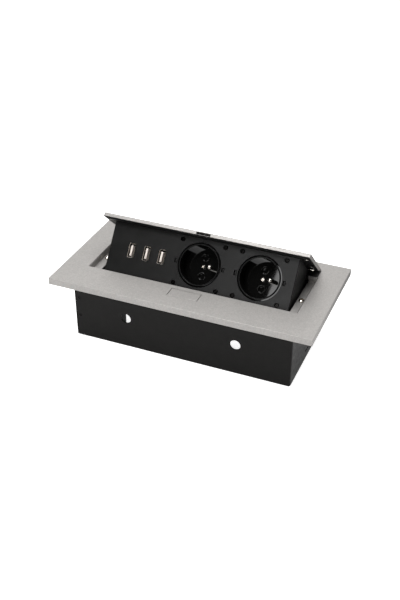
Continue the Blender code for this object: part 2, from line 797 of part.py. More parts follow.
def make_terminal_box():
    """A closed block for the mains terminals in the housing's front left corner, with its gland."""
    left = -HOUSING_IN_X + SHEET + 3 * GAP + 0.0008
    front = -HOUSING_IN_Y + SHEET + 3 * GAP + 0.0008
    low = (left, front, TERMINAL_RAISE)
    high = (left + TERMINAL_WIDTH, front + TERMINAL_DEPTH, TERMINAL_RAISE + TERMINAL_HEIGHT)
    box = rounded_block("terminal_box", low, high, black_plastic(), 0.0015, 0.0008, corner_steps=3)
    seam = TERMINAL_RAISE + TERMINAL_HEIGHT * 0.7
    for x in (low[0] - 0.001, high[0] - 0.0004):
        cut(box, block("box_seam", (x, low[1] - 0.001, seam), (x + 0.0014, high[1] + 0.001, seam + 0.0005)))
    for y in (low[1] - 0.001, high[1] - 0.0004):
        cut(box, block("box_seam", (low[0] - 0.001, y, seam), (high[0] + 0.001, y + 0.0014, seam + 0.0005)))
    gland_x = (low[0] + high[0]) / 2
    gland_y = (low[1] + high[1]) / 2
    top = TERMINAL_RAISE + 0.0050
    cut(box, rod("gland_seat", GLAND_RADIUS + GAP, (gland_x, gland_y, 0), (gland_x, gland_y, top), steps=24))
    ledge = TERMINAL_RAISE - GAP
    profile = [
        (GLAND_BORE, top - GAP),
        (GLAND_RADIUS, top - GAP),
        (GLAND_RADIUS, ledge),
        (GLAND_RADIUS + 0.0015, ledge),
        (GLAND_RADIUS + 0.0010, ledge - 0.0030),
        (GLAND_BORE, ledge - 0.0030),
        (GLAND_BORE, top - GAP),
    ]
    gland = turned("cable_gland", profile, rubber_black(), steps=24)
    gland.location = (gland_x, gland_y, 0)


# Hinge

def stop_place():
    """Middle of the stop pin: the arm's upper edge rests against it when the unit is open."""
    hub_top = Vector((0, HUB_RADIUS))
    edge = Vector(arm_corner()) - hub_top
    normal = Vector((edge.y, -edge.x)).normalized()
    reach = normal.dot(hub_top) + STOP_PIN_RADIUS + GAP
    angle = math.atan2(normal.y, normal.x) + math.acos(reach / STOP_RADIUS) - OPEN_ANGLE
    return (PIVOT.y + STOP_RADIUS * math.cos(angle), PIVOT.z + STOP_RADIUS * math.sin(angle))


def arm_corner():
    """Where the arm's upper edge leaves the tub's rear wall, in the pivot's frame."""
    return (-BODY_REAR_RADIUS * math.sin(ARM_ANGLE), BODY_REAR_RADIUS * math.cos(ARM_ANGLE))


def make_hinge():
    over = HOUSING_X + GAP + CLIP_THICKNESS + GAP + 0.0012
    shaft = rod("pivot_shaft", SHAFT_RADIUS, (-over, PIVOT.y, PIVOT.z), (over, PIVOT.y, PIVOT.z), bright_steel(),
                steps=24)
    groove = SHAFT_RADIUS - 0.0006
    for side in (-1, 1):
        near = side * (HOUSING_X + GAP)
        far = side * (HOUSING_X + GAP + CLIP_THICKNESS + GAP)
        ring = rod("shaft_groove", SHAFT_RADIUS + 0.001, (near, PIVOT.y, PIVOT.z), (far, PIVOT.y, PIVOT.z), steps=24)
        core = rod("shaft_core", groove, (near - side * 0.001, PIVOT.y, PIVOT.z),
                   (far + side * 0.001, PIVOT.y, PIVOT.z), steps=24)
        cut(ring, core)
        cut(shaft, ring)
    for name, side in (("shaft_clip_left", -1), ("shaft_clip_right", 1)):
        make_shaft_clip(name, side, groove)
    for name, side in (("stop_pin_left", -1), ("stop_pin_right", 1)):
        y, z = stop_place()
        pin = rod(name, STOP_PIN_RADIUS, (side * (BODY_IN_X - 0.0010), y, z), (side * (HOUSING_X + 0.0004), y, z),
                  dark_steel(), steps=16)
        head = side * (HOUSING_IN_X - GAP)
        join(pin, rod(name + "_collar", STOP_PIN_RADIUS + 0.0010, (head - side * 0.0010, y, z), (head, y, z),
                      steps=16))
    for name, side in (("tilt_spring_left", -1), ("tilt_spring_right", 1)):
        make_tilt_spring(name, side)


def make_shaft_clip(name, side, groove):
    """An open ring that snaps in the shaft's groove."""
    bore = groove + GAP
    opening = math.radians(50)
    outline = arc((0, 0), CLIP_RADIUS, opening - math.pi / 2, 1.5 * math.pi - opening, 18)
    outline += arc((0, 0), bore, 1.5 * math.pi - opening, opening - math.pi / 2, 14)
    middle = side * (HOUSING_X + GAP + GAP / 2 + CLIP_THICKNESS / 2)
    clip = cross_section(name, outline, middle - CLIP_THICKNESS / 2, middle + CLIP_THICKNESS / 2, bright_steel())
    clip.location.y += PIVOT.y
    clip.location.z += PIVOT.z


def make_tilt_spring(name, side):
    """A torsion spring round the shaft: one leg under the arm's peg, one on the housing's rear wall."""
    inner = BODY_X + 0.0016
    pitch = 2 * SPRING_WIRE + 0.0008
    along, across = spring_leg(SPRING_LEG_ANGLE - OPEN_ANGLE)
    tangent = across * SPRING_RADIUS
    tip = tangent + along * (PEG_REACH + 2 * PEG_RADIUS)
    first = SPRING_LEG_ANGLE - OPEN_ANGLE - math.pi / 2
    last = SPRING_REST_ANGLE - 2 * math.pi * SPRING_TURNS
    steps = 12 * SPRING_TURNS
    points = [(inner, tip.x, tip.y)]
    for i in range(steps + 1):
        angle = first + (last - first) * i / steps
        x = inner + pitch * SPRING_TURNS * i / steps
        points.append((x, SPRING_RADIUS * math.cos(angle), SPRING_RADIUS * math.sin(angle)))
    wall = HOUSING_IN_Y - GAP - SPRING_WIRE - PIVOT.y
    run = (wall - SPRING_RADIUS * math.cos(last)) / math.sin(SPRING_REST_ANGLE)
    foot = SPRING_RADIUS * math.sin(last) - run * math.cos(SPRING_REST_ANGLE)
    points.append((inner + pitch * SPRING_TURNS, wall, foot))
    curve = bpy.data.curves.new(name, "CURVE")
    curve.dimensions = "3D"
    curve.bevel_depth = SPRING_WIRE
    curve.bevel_resolution = 0
    curve.use_fill_caps = True
    spline = curve.splines.new("POLY")
    spline.points.add(len(points) - 1)
    for point, (x, y, z) in zip(spline.points, points):
        point.co = (side * x, PIVOT.y + y, PIVOT.z + z, 1)
    link(bpy.data.objects.new(name, curve), bright_steel())


def spring_leg(angle):
    """Directions along the spring's leg and square to it, towards the peg it lifts."""
    along = Vector((math.cos(angle), math.sin(angle)))
    across = Vector((math.sin(angle), -math.cos(angle)))
    return along, across


# Lid and tilting body, in the pivot's frame

def lid_front():
    return WINDOW_FRONT + LID_FRONT_GAP - PIVOT.y


def lid_rear():
    return BAY_FRONT - LID_REAR_GAP - PIVOT.y


def make_lid(pivot):
    """A plate with a rim, and a long bevel below its rear edge that clears the frame as it swings."""
    top = PIVOT_DROP
    bottom = top - LID_THICKNESS
    front = lid_front()
    rear = lid_rear()
    corner = 0.0005
    outline = [
        (front, bottom + corner),
        (front + corner, bottom),
        (rear - LID_BEVEL, bottom),
        (rear, top - LID_TIP),
        (rear, top),
        (front + corner, top),
        (front, top - corner),
    ]
    lid = cross_section("lid", outline, -LID_X, LID_X, satin_aluminium(), pivot)
    cut(lid, block("lid_pocket", (-LID_X + LID_RIM, front + LID_RIM, bottom - 0.001),
                   (LID_X - LID_RIM, deck_rear(), top - LID_SKIN)))
    half = LATCH_SLOT_WIDTH / 2
    slot_top = top - LATCH_SLOT_TOP
    cut(lid, block("latch_slot", (-half, front - 0.001, slot_top - LATCH_SLOT_HEIGHT),
                   (half, front + LID_RIM + 0.001, slot_top)))
    for x, y in lid_screw_places():
        cut(lid, rod("lid_thread", 0.0013 + GAP, (x, y, bottom), (x, y, top - 0.0008), steps=12))


def deck_rear():
    return lid_rear() - LID_BEVEL - DECK_SETBACK


def deck_underside():
    return PIVOT_DROP - LID_THICKNESS - GAP - DECK_LAP


def lid_screw_places():
    x = LID_X - 0.0050
    front = lid_front() + 0.0095
    rear = deck_rear() - 0.0050
    return [(-x, front), (-x, rear), (x, front), (x, rear)]


def face_line(height, behind):
    """Point in the pivot's YZ plane, given by its height on the face and its depth behind it."""
    lean = FACE_LEAN
    y = WINDOW_FRONT + FACE_SETBACK - PIVOT.y - math.sin(lean) * height + math.cos(lean) * behind
    z = PIVOT_DROP - FACE_DROP + math.cos(lean) * height + math.sin(lean) * behind
    return (y, z)


def body_section(radius, wall):
    """The tub's section: open front on the panel's back, bottom, and a rear wall round the pivot."""
    top = PIVOT_DROP - LID_THICKNESS - GAP - (TUB_CEILING if wall else 0)
    start = math.acos(-math.sqrt(radius ** 2 - top ** 2) / radius)
    end = math.pi + math.radians(20)
    behind = PANEL_THICKNESS + GAP
    rear_wall = arc((0, 0), radius, start, end, 10)
    foot = (rear_wall[-1][0] + 0.0050 - wall, rear_wall[-1][1] - 0.0155 + wall)
    bottom_front = face_line(-PANEL_HALF_HEIGHT + wall, behind)
    top_front_y = face_line(PANEL_HALF_HEIGHT, behind)[0]
    return [bottom_front, foot, *rear_wall[::-1], (top_front_y, top)]


def arm_outline():
    """The side cheek: the tub's outer section, drawn out at the back to the hub on the shaft."""
    section = body_section(BODY_REAR_RADIUS, 0.0)
    rear_wall = section[2:-1][::-1]
    upper = [p for p in rear_wall if math.atan2(p[1], p[0]) > math.pi / 2
             and math.atan2(p[1], p[0]) < math.pi / 2 + ARM_ANGLE]
    corner = arm_corner()
    hub = arc((0, 0), HUB_RADIUS, -math.pi / 2 + math.radians(15), math.pi / 2, 8)
    return [section[0], section[1], *hub, corner, *upper[::-1], section[-1]]


def make_body(pivot):
    """The black tub that carries the lid and the face, with an arm and a hub at each side."""
    section = body_section(BODY_REAR_RADIUS, 0.0)
    body = cross_section("tilt_body", section, -BODY_X + 0.0010, BODY_X - 0.0010, black_plastic(), pivot)
    inner = body_section(BODY_REAR_RADIUS + BODY_THIN_WALL, BODY_THIN_WALL)
    mouth_low = face_line(-PANEL_HALF_HEIGHT + BODY_THIN_WALL, -0.002)
    mouth_high = (mouth_low[0] - 0.008, inner[-1][1])
    cut(body, cross_section("tub_inside", [mouth_low, *inner, mouth_high], -BODY_IN_X, BODY_IN_X))
    deck_top = PIVOT_DROP - LID_SKIN - GAP
    deck_bottom = deck_underside()
    deck_x = LID_X - LID_RIM - GAP
    join(body, block("deck", (-deck_x, lid_front() + LID_RIM + GAP, deck_bottom),
                     (deck_x, deck_rear() - GAP, deck_top)))
    for side in (-1, 1):
        near = side * (BODY_X - BODY_WALL)
        far = side * BODY_X
        join(body, cross_section("side_cheek", arm_outline(), min(near, far), max(near, far)))
        hub_end = side * (BODY_X - HUB_LENGTH)
        join(body, rod("hub", HUB_RADIUS - 0.0001, (hub_end, 0, 0), (far - side * 0.0002, 0, 0), steps=24))
        along, across = spring_leg(SPRING_LEG_ANGLE)
        peg = along * PEG_REACH + across * (SPRING_RADIUS + SPRING_WIRE + GAP + PEG_RADIUS)
        join(body, rod("spring_peg", PEG_RADIUS, (far - side * 0.001, *peg), (far + side * 0.0036, *peg), steps=10))
        cut(body, rod("hub_bore", SHAFT_RADIUS + GAP, (hub_end - side * 0.002, 0, 0), (far + side * 0.002, 0, 0),
                      steps=20))
        screw_x = side * (LEDGE_X + LEDGE_WIDTH / 2)
        cut(body, rod("screw_relief", 0.0040, (screw_x, -PIVOT.y, deck_bottom - 0.001),
                      (screw_x, -PIVOT.y, deck_bottom + 0.0015), steps=14))
    cut(body, panel_rebate())
    for x, y in lid_screw_places():
        cut(body, rod("lid_screw_hole", 0.0013 + GAP, (x, y, deck_bottom - 0.001), (x, y, deck_top + 0.001),
                      steps=8))
        cut(body, rod("lid_screw_sink", 0.0025 + GAP, (x, y, deck_bottom - 0.001), (x, y, deck_bottom + 0.0014),
                      steps=10))
    half = LATCH_SLOT_WIDTH / 2
    cut(body, block("latch_room", (-half, lid_front(), deck_bottom + 0.0006),
                    (half, lid_front() + LID_RIM + 0.0030, deck_top + 0.001)))
    return body


def panel_rebate():
    """Room for the panel's edges, with the usual gap, where they meet the tub and the deck."""
    low = -PANEL_HALF_HEIGHT - 0.002
    high = PANEL_HALF_HEIGHT + GAP
    back = PANEL_THICKNESS + GAP
    outline = [face_line(low, back), face_line(high, back), face_line(high, -GAP), face_line(low, -0.004)]
    return cross_section("panel_rebate", outline[::-1], -BODY_X - GAP, BODY_X + GAP)


def make_lid_screws(pivot):
    """Four flat-headed screws that hold the lid, driven from below through the body's deck."""
    names = ("lid_screw_front_left", "lid_screw_rear_left", "lid_screw_front_right", "lid_screw_rear_right")
    deck_bottom = deck_underside()
    for name, (x, y) in zip(names, lid_screw_places()):
        screw = pan_screw(name, 0.0025, 0.0010, 0.0013, 0.0022, bright_steel(), pivot, steps=8)
        screw.location = (x, y, deck_bottom + 0.0014 - GAP)
        screw.rotation_euler = (math.radians(180), 0, 0)


# Face, in its own frame: X along the unit, Y up the face, Z out of it

def make_face_panel(face):
    panel = block("face_panel", (-BODY_X, -PANEL_HALF_HEIGHT, -PANEL_THICKNESS), (BODY_X, PANEL_HALF_HEIGHT, 0),
                  black_plastic(), face)
    bm = bmesh.new()
    bm.from_mesh(panel.data)
    rim = [e for e in bm.edges if all(v.co.z > -1e-6 for v in e.verts)]
    bmesh.ops.bevel(bm, geom=rim, offset=PANEL_BEVEL, segments=2, profile=0.5, affect="EDGES")
    bm.to_mesh(panel.data)
    bm.free()
    back = -PANEL_THICKNESS
    for x in SOCKET_XS:
        cut(panel, rod("ring_hole", RING_RADIUS + GAP, (x, 0, back - 0.001), (x, 0, 0.001), steps=40))
        for sx in (-1, 1):
            slot_x = x + sx * TAB_SLOT_X
            cut(panel, block("tab_slot", (slot_x - TAB_SLOT_WIDTH / 2, -TAB_SLOT_HEIGHT / 2, back - 0.001),
                             (slot_x + TAB_SLOT_WIDTH / 2, TAB_SLOT_HEIGHT / 2, 0.001)))
            for sy in (-1, 1):
                sx_place = x + sx * FACE_SCREW_X
                sy_place = sy * FACE_SCREW_Y
                cut(panel, rod("face_screw_hole", 0.0013 + GAP, (sx_place, sy_place, back - 0.001),
                               (sx_place, sy_place, 0.001), steps=10))
                cut(panel, rod("face_screw_sink", FACE_SCREW_HEAD + GAP, (sx_place, sy_place, -FACE_SCREW_SINK),
                               (sx_place, sy_place, 0.001), steps=12))
    for x in USB_XS:
        outline = rounded_rectangle(USB_WIDTH + 2 * GAP, USB_HEIGHT + 2 * GAP, 0.0010, centre=(x, 0))
        cut(panel, plan_plate("usb_hole", outline, back - 0.001, 0.001, parent=face))
    add_board_posts(panel)
    add_panel_hooks(panel)
    return panel


def board_corners():
    middle = USB_XS[1]
    return [(middle + sx * BOARD_HALF_X, sy * BOARD_HALF_Y) for sx in (-1, 1) for sy in (-1, 1)]


def add_board_posts(panel):
    """Posts behind the panel that the circuit board snaps on."""
    board_front = -USB_DEPTH - GAP
    for x, y in board_corners():
        join(panel, rod("board_post", 0.0022, (x, y, -PANEL_THICKNESS / 2), (x, y, board_front + GAP), steps=14))
        join(panel, rod("board_pin", 0.0011, (x, y, board_front + 0.001),
                        (x, y, board_front - BOARD_THICKNESS - 0.0008), steps=10))


def add_panel_hooks(panel):
    """Snap hooks behind the panel, just inside the body's floor and ceiling."""
    root = -PANEL_THICKNESS / 2
    tip = -PANEL_THICKNESS - 0.0060
    reach = PANEL_HALF_HEIGHT - BODY_THIN_WALL - HOOK_CLEARANCE
    board_left = USB_XS[1] - BOARD_HALF_X - BOARD_EDGE
    places = ((-BODY_IN_X + board_left) / 2, USB_XS[2] + USB_PITCH / 2, sum(SOCKET_XS) / 2)
    half = FLANGE_SPACING * HOOK_SHARE / 2
    for x in places:
        low = (x - half, -reach, tip)
        high = (x + half, HOOK_THICKNESS - reach, root)
        join(panel, block("panel_hook", low, high))


def make_socket(face, number, x):
    """A cup with a raised ring, a floor with two holes, and a block behind for the contacts."""
    flange_top = -PANEL_THICKNESS - GAP
    flange_bottom = flange_top - FLANGE_THICKNESS
    cup = RECESS_RADIUS + CUP_WALL
    back = -RECESS_DEPTH - CUP_FLOOR
    profile = [
        (0, -RECESS_DEPTH),
        (RECESS_RADIUS - 0.0008, -RECESS_DEPTH),
        (RECESS_RADIUS, -RECESS_DEPTH + 0.0008),
        (RECESS_RADIUS, RING_RISE - 0.0005),
        (RECESS_RADIUS + 0.0003, RING_RISE),
        (GROOVE_RADIUS, RING_RISE),
        (GROOVE_RADIUS, RING_RISE - 0.0006),
        (GROOVE_RADIUS + GROOVE_WIDTH, RING_RISE - 0.0006),
        (GROOVE_RADIUS + GROOVE_WIDTH, RING_RISE),
        (RING_RADIUS - 0.0003, RING_RISE),
        (RING_RADIUS, RING_RISE - 0.0003),
        (RING_RADIUS, flange_top),
        (cup, flange_top),
        (cup, back),
        (0, back),
    ]
    name = f"socket_insert_{number}"
    insert = turned(name, profile, gloss_black(), face, steps=36)
    half_y = FACE_SCREW_Y + FLANGE_END_MARGIN
    flange = block("socket_flange", (-FLANGE_HALF_X, -half_y, flange_bottom),
                   (FLANGE_HALF_X, half_y, flange_top - 0.0001))
    cut(flange, rod("socket_flange_hole", cup - 0.0006, (0, 0, flange_bottom - 0.001), (0, 0, flange_top + 0.001),
                    steps=36))
    join(insert, flange)
    for sx in (-1, 1):
        tab_x = TAB_SLOT_WIDTH / 2 - SNAP_TAB_CLEARANCE
        tab_y = TAB_SLOT_HEIGHT / 2 - SNAP_TAB_CLEARANCE
        middle = sx * TAB_SLOT_X
        join(insert, block("snap_tab", (middle - tab_x, -tab_y, flange_bottom + FLANGE_THICKNESS / 2),
                           (middle + tab_x, tab_y, -SNAP_TAB_SINK)))
    block_back = back - BLOCK_DEPTH
    join(insert, block("contact_block", (-BLOCK_LEFT, -BLOCK_HALF_Y, block_back),
                       (BLOCK_RIGHT, BLOCK_HALF_Y, back + 0.4 * CUP_FLOOR)))
    for sy in (-1, 1):
        y = sy * CONTACT_SPREAD
        cut(insert, rod("contact_hole", CONTACT_HOLE, (0, y, block_back - 0.001), (0, y, 0), steps=14))
        cut(insert, rod("sleeve_room", SLEEVE_RADIUS + GAP, (0, y, block_back - 0.001), (0, y, back + GAP),
                        steps=14))
        for sx in (-1, 1):
            place = (sx * FACE_SCREW_X, sy * FACE_SCREW_Y)
            cut(insert, rod("flange_bore", 0.0013 + GAP, (*place, flange_bottom - 0.001),
                            (*place, flange_top + 0.001), steps=8))
    cut(insert, rod("earth_bore", EARTH_RADIUS + GAP, (EARTH_OFFSET, 0, block_back - 0.001), (EARTH_OFFSET, 0, 0),
                    steps=14))
    cut(insert, rod("centre_bore", 0.0014 + GAP, (0, 0, block_back - 0.001), (0, 0, 0), steps=10))
    settle(insert)
    insert.location.x = x
    make_contacts(face, number, x, back, block_back)


def make_contacts(face, number, x, back, block_back):
    """Brass sleeves, the earth pin and the screw that holds the cover down."""
    sleeve_top = back
    sleeve_foot = sleeve_top - SLEEVE_LENGTH
    profile = [
        (0, sleeve_foot + 0.0010),
        (SLEEVE_BORE, sleeve_foot + 0.0010),
        (SLEEVE_BORE, sleeve_top),
        (SLEEVE_RADIUS, sleeve_top),
        (SLEEVE_RADIUS, sleeve_foot),
        (0, sleeve_foot),
    ]
    for label, sy in (("line", 1), ("neutral", -1)):
        sleeve = turned(f"{label}_contact_{number}", profile, brass(), face, steps=14)
        sleeve.location = (x, sy * CONTACT_SPREAD, 0)
    tip = -EARTH_SINK
    nose = [(EARTH_RADIUS * math.sin(a), tip - EARTH_RADIUS * 0.8 * (1 - math.cos(a)))
            for a in [math.pi / 2 * i / 4 for i in range(5)]]
    pin = turned(f"earth_pin_{number}", [*nose, (EARTH_RADIUS, block_back + 0.0005), (0, block_back + 0.0005)],
                 bright_steel(), face, steps=16)
    pin.location = (x + EARTH_OFFSET, 0, 0)
    screw = pan_screw(f"centre_screw_{number}", CENTRE_SCREW_HEAD, CENTRE_SCREW_HEIGHT, 0.0014, 0.0095,
                      bright_steel(), face,
                      steps=16)
    screw.location = (x, 0, -RECESS_DEPTH + GAP)


def make_face_screws(face):
    source = pan_screw("face_screw_source", FACE_SCREW_HEAD, 0.0012, 0.0012, 0.0072, dark_steel(), face, steps=10)
    height = -FACE_SCREW_SINK + GAP
    labels = (("top_left", -1, 1), ("top_right", 1, 1), ("bottom_left", -1, -1), ("bottom_right", 1, -1))
    for number, x in enumerate(SOCKET_XS, start=1):
        for label, sx, sy in labels:
            copy_of(source, f"face_screw_{number}_{label}", (x + sx * FACE_SCREW_X, sy * FACE_SCREW_Y, height))
    bpy.data.objects.remove(source, do_unlink=True)


def make_usb_ports(face):
    for number, x in enumerate(USB_XS, start=1):
        outer = rounded_rectangle(USB_WIDTH, USB_HEIGHT, 0.0010)
        lip = rounded_rectangle(USB_WIDTH + 2 * USB_LIP, USB_HEIGHT + 2 * USB_LIP, 0.0016)
        inner = rounded_rectangle(USB_WIDTH - 2 * USB_WALL, USB_HEIGHT - 2 * USB_WALL, 0.0006)
        shell = plan_plate(f"usb_shell_{number}", outer, -USB_DEPTH, 0.0006, bright_steel(), face)
        join(shell, plan_plate("usb_lip", lip, GAP, 0.0008, parent=face))
        cut(shell, plan_plate("usb_inside", inner, -USB_DEPTH - 0.001, 0.002, parent=face))
        settle(shell)
        shell.location.x += x
        make_usb_tongue(face, number, x)


def make_usb_tongue(face, number, x):
    half_w = USB_WIDTH / 2 - USB_WALL - GAP
    half_h = USB_HEIGHT / 2 - USB_WALL - GAP
    base_top = -USB_DEPTH + 0.0030
    tongue = block(f"usb_tongue_{number}", (-half_w, -half_h, -USB_DEPTH), (half_w, half_h, base_top),
                   ivory_plastic(), face)
    left = TONGUE_OFFSET - TONGUE_WIDTH / 2
    join(tongue, block("tongue_blade", (left, -TONGUE_HEIGHT / 2, base_top - 0.001),
                       (left + TONGUE_WIDTH, TONGUE_HEIGHT / 2, -0.0010)))
    settle(tongue)
    tongue.location.x += x


def make_usb_supply(face):
    middle = USB_XS[1]
    top = -USB_DEPTH - GAP
    half_x = BOARD_HALF_X + BOARD_EDGE
    half_y = BOARD_HALF_Y + BOARD_EDGE
    board = block("usb_board", (middle - half_x, -half_y, top - BOARD_THICKNESS), (middle + half_x, half_y, top),
                  board_green(), face)
    for x, y in board_corners():
        cut(board, rod("board_hole", 0.0011 + GAP, (x, y, top - BOARD_THICKNESS - 0.001), (x, y, top + 0.001),
                       steps=14))
    supply_top = top - BOARD_THICKNESS - GAP
    supply_x = BOARD_HALF_X - SUPPLY_MARGIN
    supply = block("usb_supply", (middle - supply_x, -SUPPLY_HALF_Y, supply_top - SUPPLY_DEPTH),
                   (middle + supply_x, SUPPLY_HALF_Y, supply_top), black_plastic(), face)
    bm = bmesh.new()
    bm.from_mesh(supply.data)
    bmesh.ops.bevel(bm, geom=bm.edges[:], offset=0.0006, segments=1, profile=0.5, affect="EDGES")
    bm.to_mesh(supply.data)
    bm.free()


# Release button and latch

def make_button():
    """A flush cap with a flange that keeps it under the frame and a wedge that drives the latch."""
    half = BUTTON_WIDTH / 2
    cap_bottom = TOP - BUTTON_CAP - 0.0005
    button = rounded_block("release_button", (-half, BUTTON_FRONT, cap_bottom), (half, BUTTON_REAR, TOP),
                           satin_aluminium(), 0.0004, 0.0003, corner_steps=2)
    flange_top = SKIN_BOTTOM - GAP
    join(button, block("button_flange", (-half - 0.0014, BUTTON_FRONT - 0.0011, flange_top - 0.0012),
                       (half + 0.0014, BUTTON_REAR - 0.0002, flange_top)))
    slope = LATCH_TRAVEL / BUTTON_TRAVEL
    tip = LATCH_PLATE_BOTTOM - 0.0008
    heel = BUTTON_REAR - 0.0018
    toe = wedge_y(LATCH_PLATE_BOTTOM)
    root = flange_top - 0.0006
    outline = [(heel, root), (toe - slope * (root - LATCH_PLATE_BOTTOM), root), (toe + slope * 0.0008, tip), (heel, tip)]
    join(button, cross_section("button_wedge", outline, -WEDGE_X, WEDGE_X))
    return button


def wedge_y(height):
    """Front face of the button's wedge at a height, with the button up."""
    slope = LATCH_TRAVEL / BUTTON_TRAVEL
    return BUTTON_REAR - 0.0033 - slope * (height - LATCH_PLATE_BOTTOM)


def make_latch():
    """A sliding plate: the wedge passes through its window, and its tongue holds the lid's edge."""
    top = TOP - LATCH_PLATE_DROP
    bottom = LATCH_PLATE_BOTTOM
    front = BUTTON_FRONT + 0.0037
    rear = WINDOW_FRONT - FRAME_WALL - GAP
    latch = block("latch_slide", (-LATCH_PLATE_X, front, bottom), (LATCH_PLATE_X, rear, top), dark_steel())
    slack = GAP * math.hypot(1.0, LATCH_TRAVEL / BUTTON_TRAVEL)
    low = bottom - 0.001
    high = top + 0.001
    back = BUTTON_REAR + 0.0010
    window = [(wedge_y(low) - slack, low), (back, low), (back, high), (wedge_y(high) - slack, high)]
    cut(latch, cross_section("wedge_window", window, -WEDGE_X - GAP, WEDGE_X + GAP))
    tongue_top = TOP - LATCH_TONGUE_TOP
    tongue_bottom = tongue_top - LATCH_THICKNESS
    tip = WINDOW_FRONT + LID_FRONT_GAP + LATCH_REACH
    post = rear - 0.0014
    outline = [
        (post, bottom + 0.0004),
        (rear, bottom + 0.0004),
        (rear, tongue_bottom),
        (tip, tongue_bottom),
        (tip, tongue_bottom + 0.0004),
        (tip - 0.0012, tongue_top),
        (post, tongue_top),
    ]
    half = LATCH_SLOT_WIDTH / 2 - 0.0009
    join(latch, cross_section("latch_tongue", outline, -half, half))
    for side in (-1, 1):
        low_x = side * (LATCH_PLATE_X - 0.0010)
        high_x = side * LATCH_EAR_X
        join(latch, block("spring_ear", (min(low_x, high_x), LATCH_EAR_FRONT, bottom - 0.0010),
                          (max(low_x, high_x), LATCH_EAR_FRONT + LATCH_EAR_THICKNESS, top + 0.0012)))
    return latch


def make_latch_case():
    """The tray under the front border that guides the latch and its springs."""
    half = BUTTON_WIDTH / 2 + CASE_CLEARANCE
    front = BUTTON_FRONT - 0.0015
    rear = WINDOW_FRONT - FRAME_WALL - GAP
    top = SKIN_BOTTOM - GAP
    floor = LATCH_PLATE_BOTTOM - 0.0008 - BUTTON_TRAVEL - GAP
    case = block("latch_case", (-half - CASE_WALL, front - CASE_WALL, floor - CASE_WALL), (half + CASE_WALL, rear, top),
                 black_plastic())
    cut(case, block("case_inside", (-half, front, floor), (half, rear + 0.001, top + 0.001)))
    for side in (-1, 1):
        far = side * (LATCH_PLATE_X - LATCH_RAIL_WIDTH)
        near = side * (LATCH_PLATE_X - 2 * LATCH_RAIL_WIDTH)
        join(case, block("latch_rail", (min(near, far), front - 0.0005, floor - 0.0005),
                         (max(near, far), rear, LATCH_PLATE_BOTTOM - GAP)))
        ear_far = side * (CASE_SCREW_X + 0.0036)
        ear_near = side * (half + CASE_WALL / 2)
        y = (BUTTON_FRONT + BUTTON_REAR) / 2
        join(case, block("case_ear", (min(ear_near, ear_far), y - 0.0036, CASE_EAR_TOP - 0.0020),
                         (max(ear_near, ear_far), y + 0.0036, CASE_EAR_TOP)))
        cut(case, rod("case_ear_hole", 0.0016, (side * CASE_SCREW_X, y, CASE_EAR_TOP - 0.003),
                      (side * CASE_SCREW_X, y, CASE_EAR_TOP + 0.001), steps=14))
    for name, side in (("case_screw_left", -1), ("case_screw_right", 1)):
        length = CASE_EAR_TOP + 0.0020 - (CASE_EAR_TOP - 0.0020)
        screw = pan_screw(name, 0.0026, 0.0014, 0.0010, length, bright_steel(), steps=10)
        screw.rotation_euler = (math.radians(180), 0, 0)
        screw.location = (side * CASE_SCREW_X, (BUTTON_FRONT + BUTTON_REAR) / 2, CASE_EAR_TOP - 0.0020 - GAP)
    for name, side in (("latch_spring_left", -1), ("latch_spring_right", 1)):
        make_latch_spring(name, side, front)


def make_latch_spring(name, side, case_front):
    """A compression spring between the case's front wall and the latch's ear."""
    wire = LATCH_SPRING_WIRE
    radius = LATCH_SPRING_RADIUS
    steps = 8
    start = case_front + GAP + wire
    end = LATCH_EAR_FRONT - GAP - wire
    x = side * (LATCH_PLATE_X + LATCH_EAR_X - 0.0005) / 2
    z = LATCH_PLATE_BOTTOM + LATCH_PLATE / 2
    curve = bpy.data.curves.new(name, "CURVE")
    curve.dimensions = "3D"
    curve.bevel_depth = wire
    curve.bevel_resolution = 0
    curve.use_fill_caps = True
    spline = curve.splines.new("POLY")
    count = LATCH_SPRING_TURNS * steps
    spline.points.add(count)
    for i, point in enumerate(spline.points):
        angle = 2 * math.pi * i / steps
        y = start + (end - start) * i / count
        point.co = (x + radius * math.cos(angle), y, z + radius * math.sin(angle), 1)
    link(bpy.data.objects.new(name, curve), bright_steel())


# Places shared by pieces that meet
LATCH_PLATE_BOTTOM = TOP - LATCH_PLATE_DROP - LATCH_PLATE
LATCH_TONGUE_TOP = LATCH_SLOT_TOP + 0.0005
LATCH_EAR_FRONT = BUTTON_FRONT + 0.0085
LATCH_PLATE_X = BUTTON_WIDTH / 2 - LATCH_PLATE_MARGIN
LATCH_EAR_X = BUTTON_WIDTH / 2 + LATCH_EAR_MARGIN
WEDGE_X = LATCH_PLATE_X - WEDGE_MARGIN
CASE_SCREW_X = BUTTON_WIDTH / 2 + CASE_SCREW_MARGIN
CASE_EAR_TOP = TOP - 0.0070


def main():
    clear_scene()
    new_collection(PARTS)
    new_collection(CUTTERS)
    make_bezel_frame()
    make_rear_bar()
    make_housing()
    make_corner_bracket()
    make_seam_rivets()
    make_frame_screws()
    make_terminal_box()
    make_hinge()
    make_button()
    make_latch()
    make_latch_case()
    pivot = frame_of("tilt_pivot", PIVOT, -OPEN_ANGLE)
    make_lid(pivot)
    make_body(pivot)
    make_lid_screws(pivot)
    face_y, face_z = face_line(0, 0)
    face = frame_of("face_plane", (0, face_y, face_z), math.pi / 2 + FACE_LEAN, pivot)
    make_face_panel(face)
    for number, x in enumerate(SOCKET_XS, start=1):
        make_socket(face, number, x)
    make_face_screws(face)
    make_usb_ports(face)
    make_usb_supply(face)


main()
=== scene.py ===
import math

import bmesh
import bpy
from mathutils import Matrix, Vector


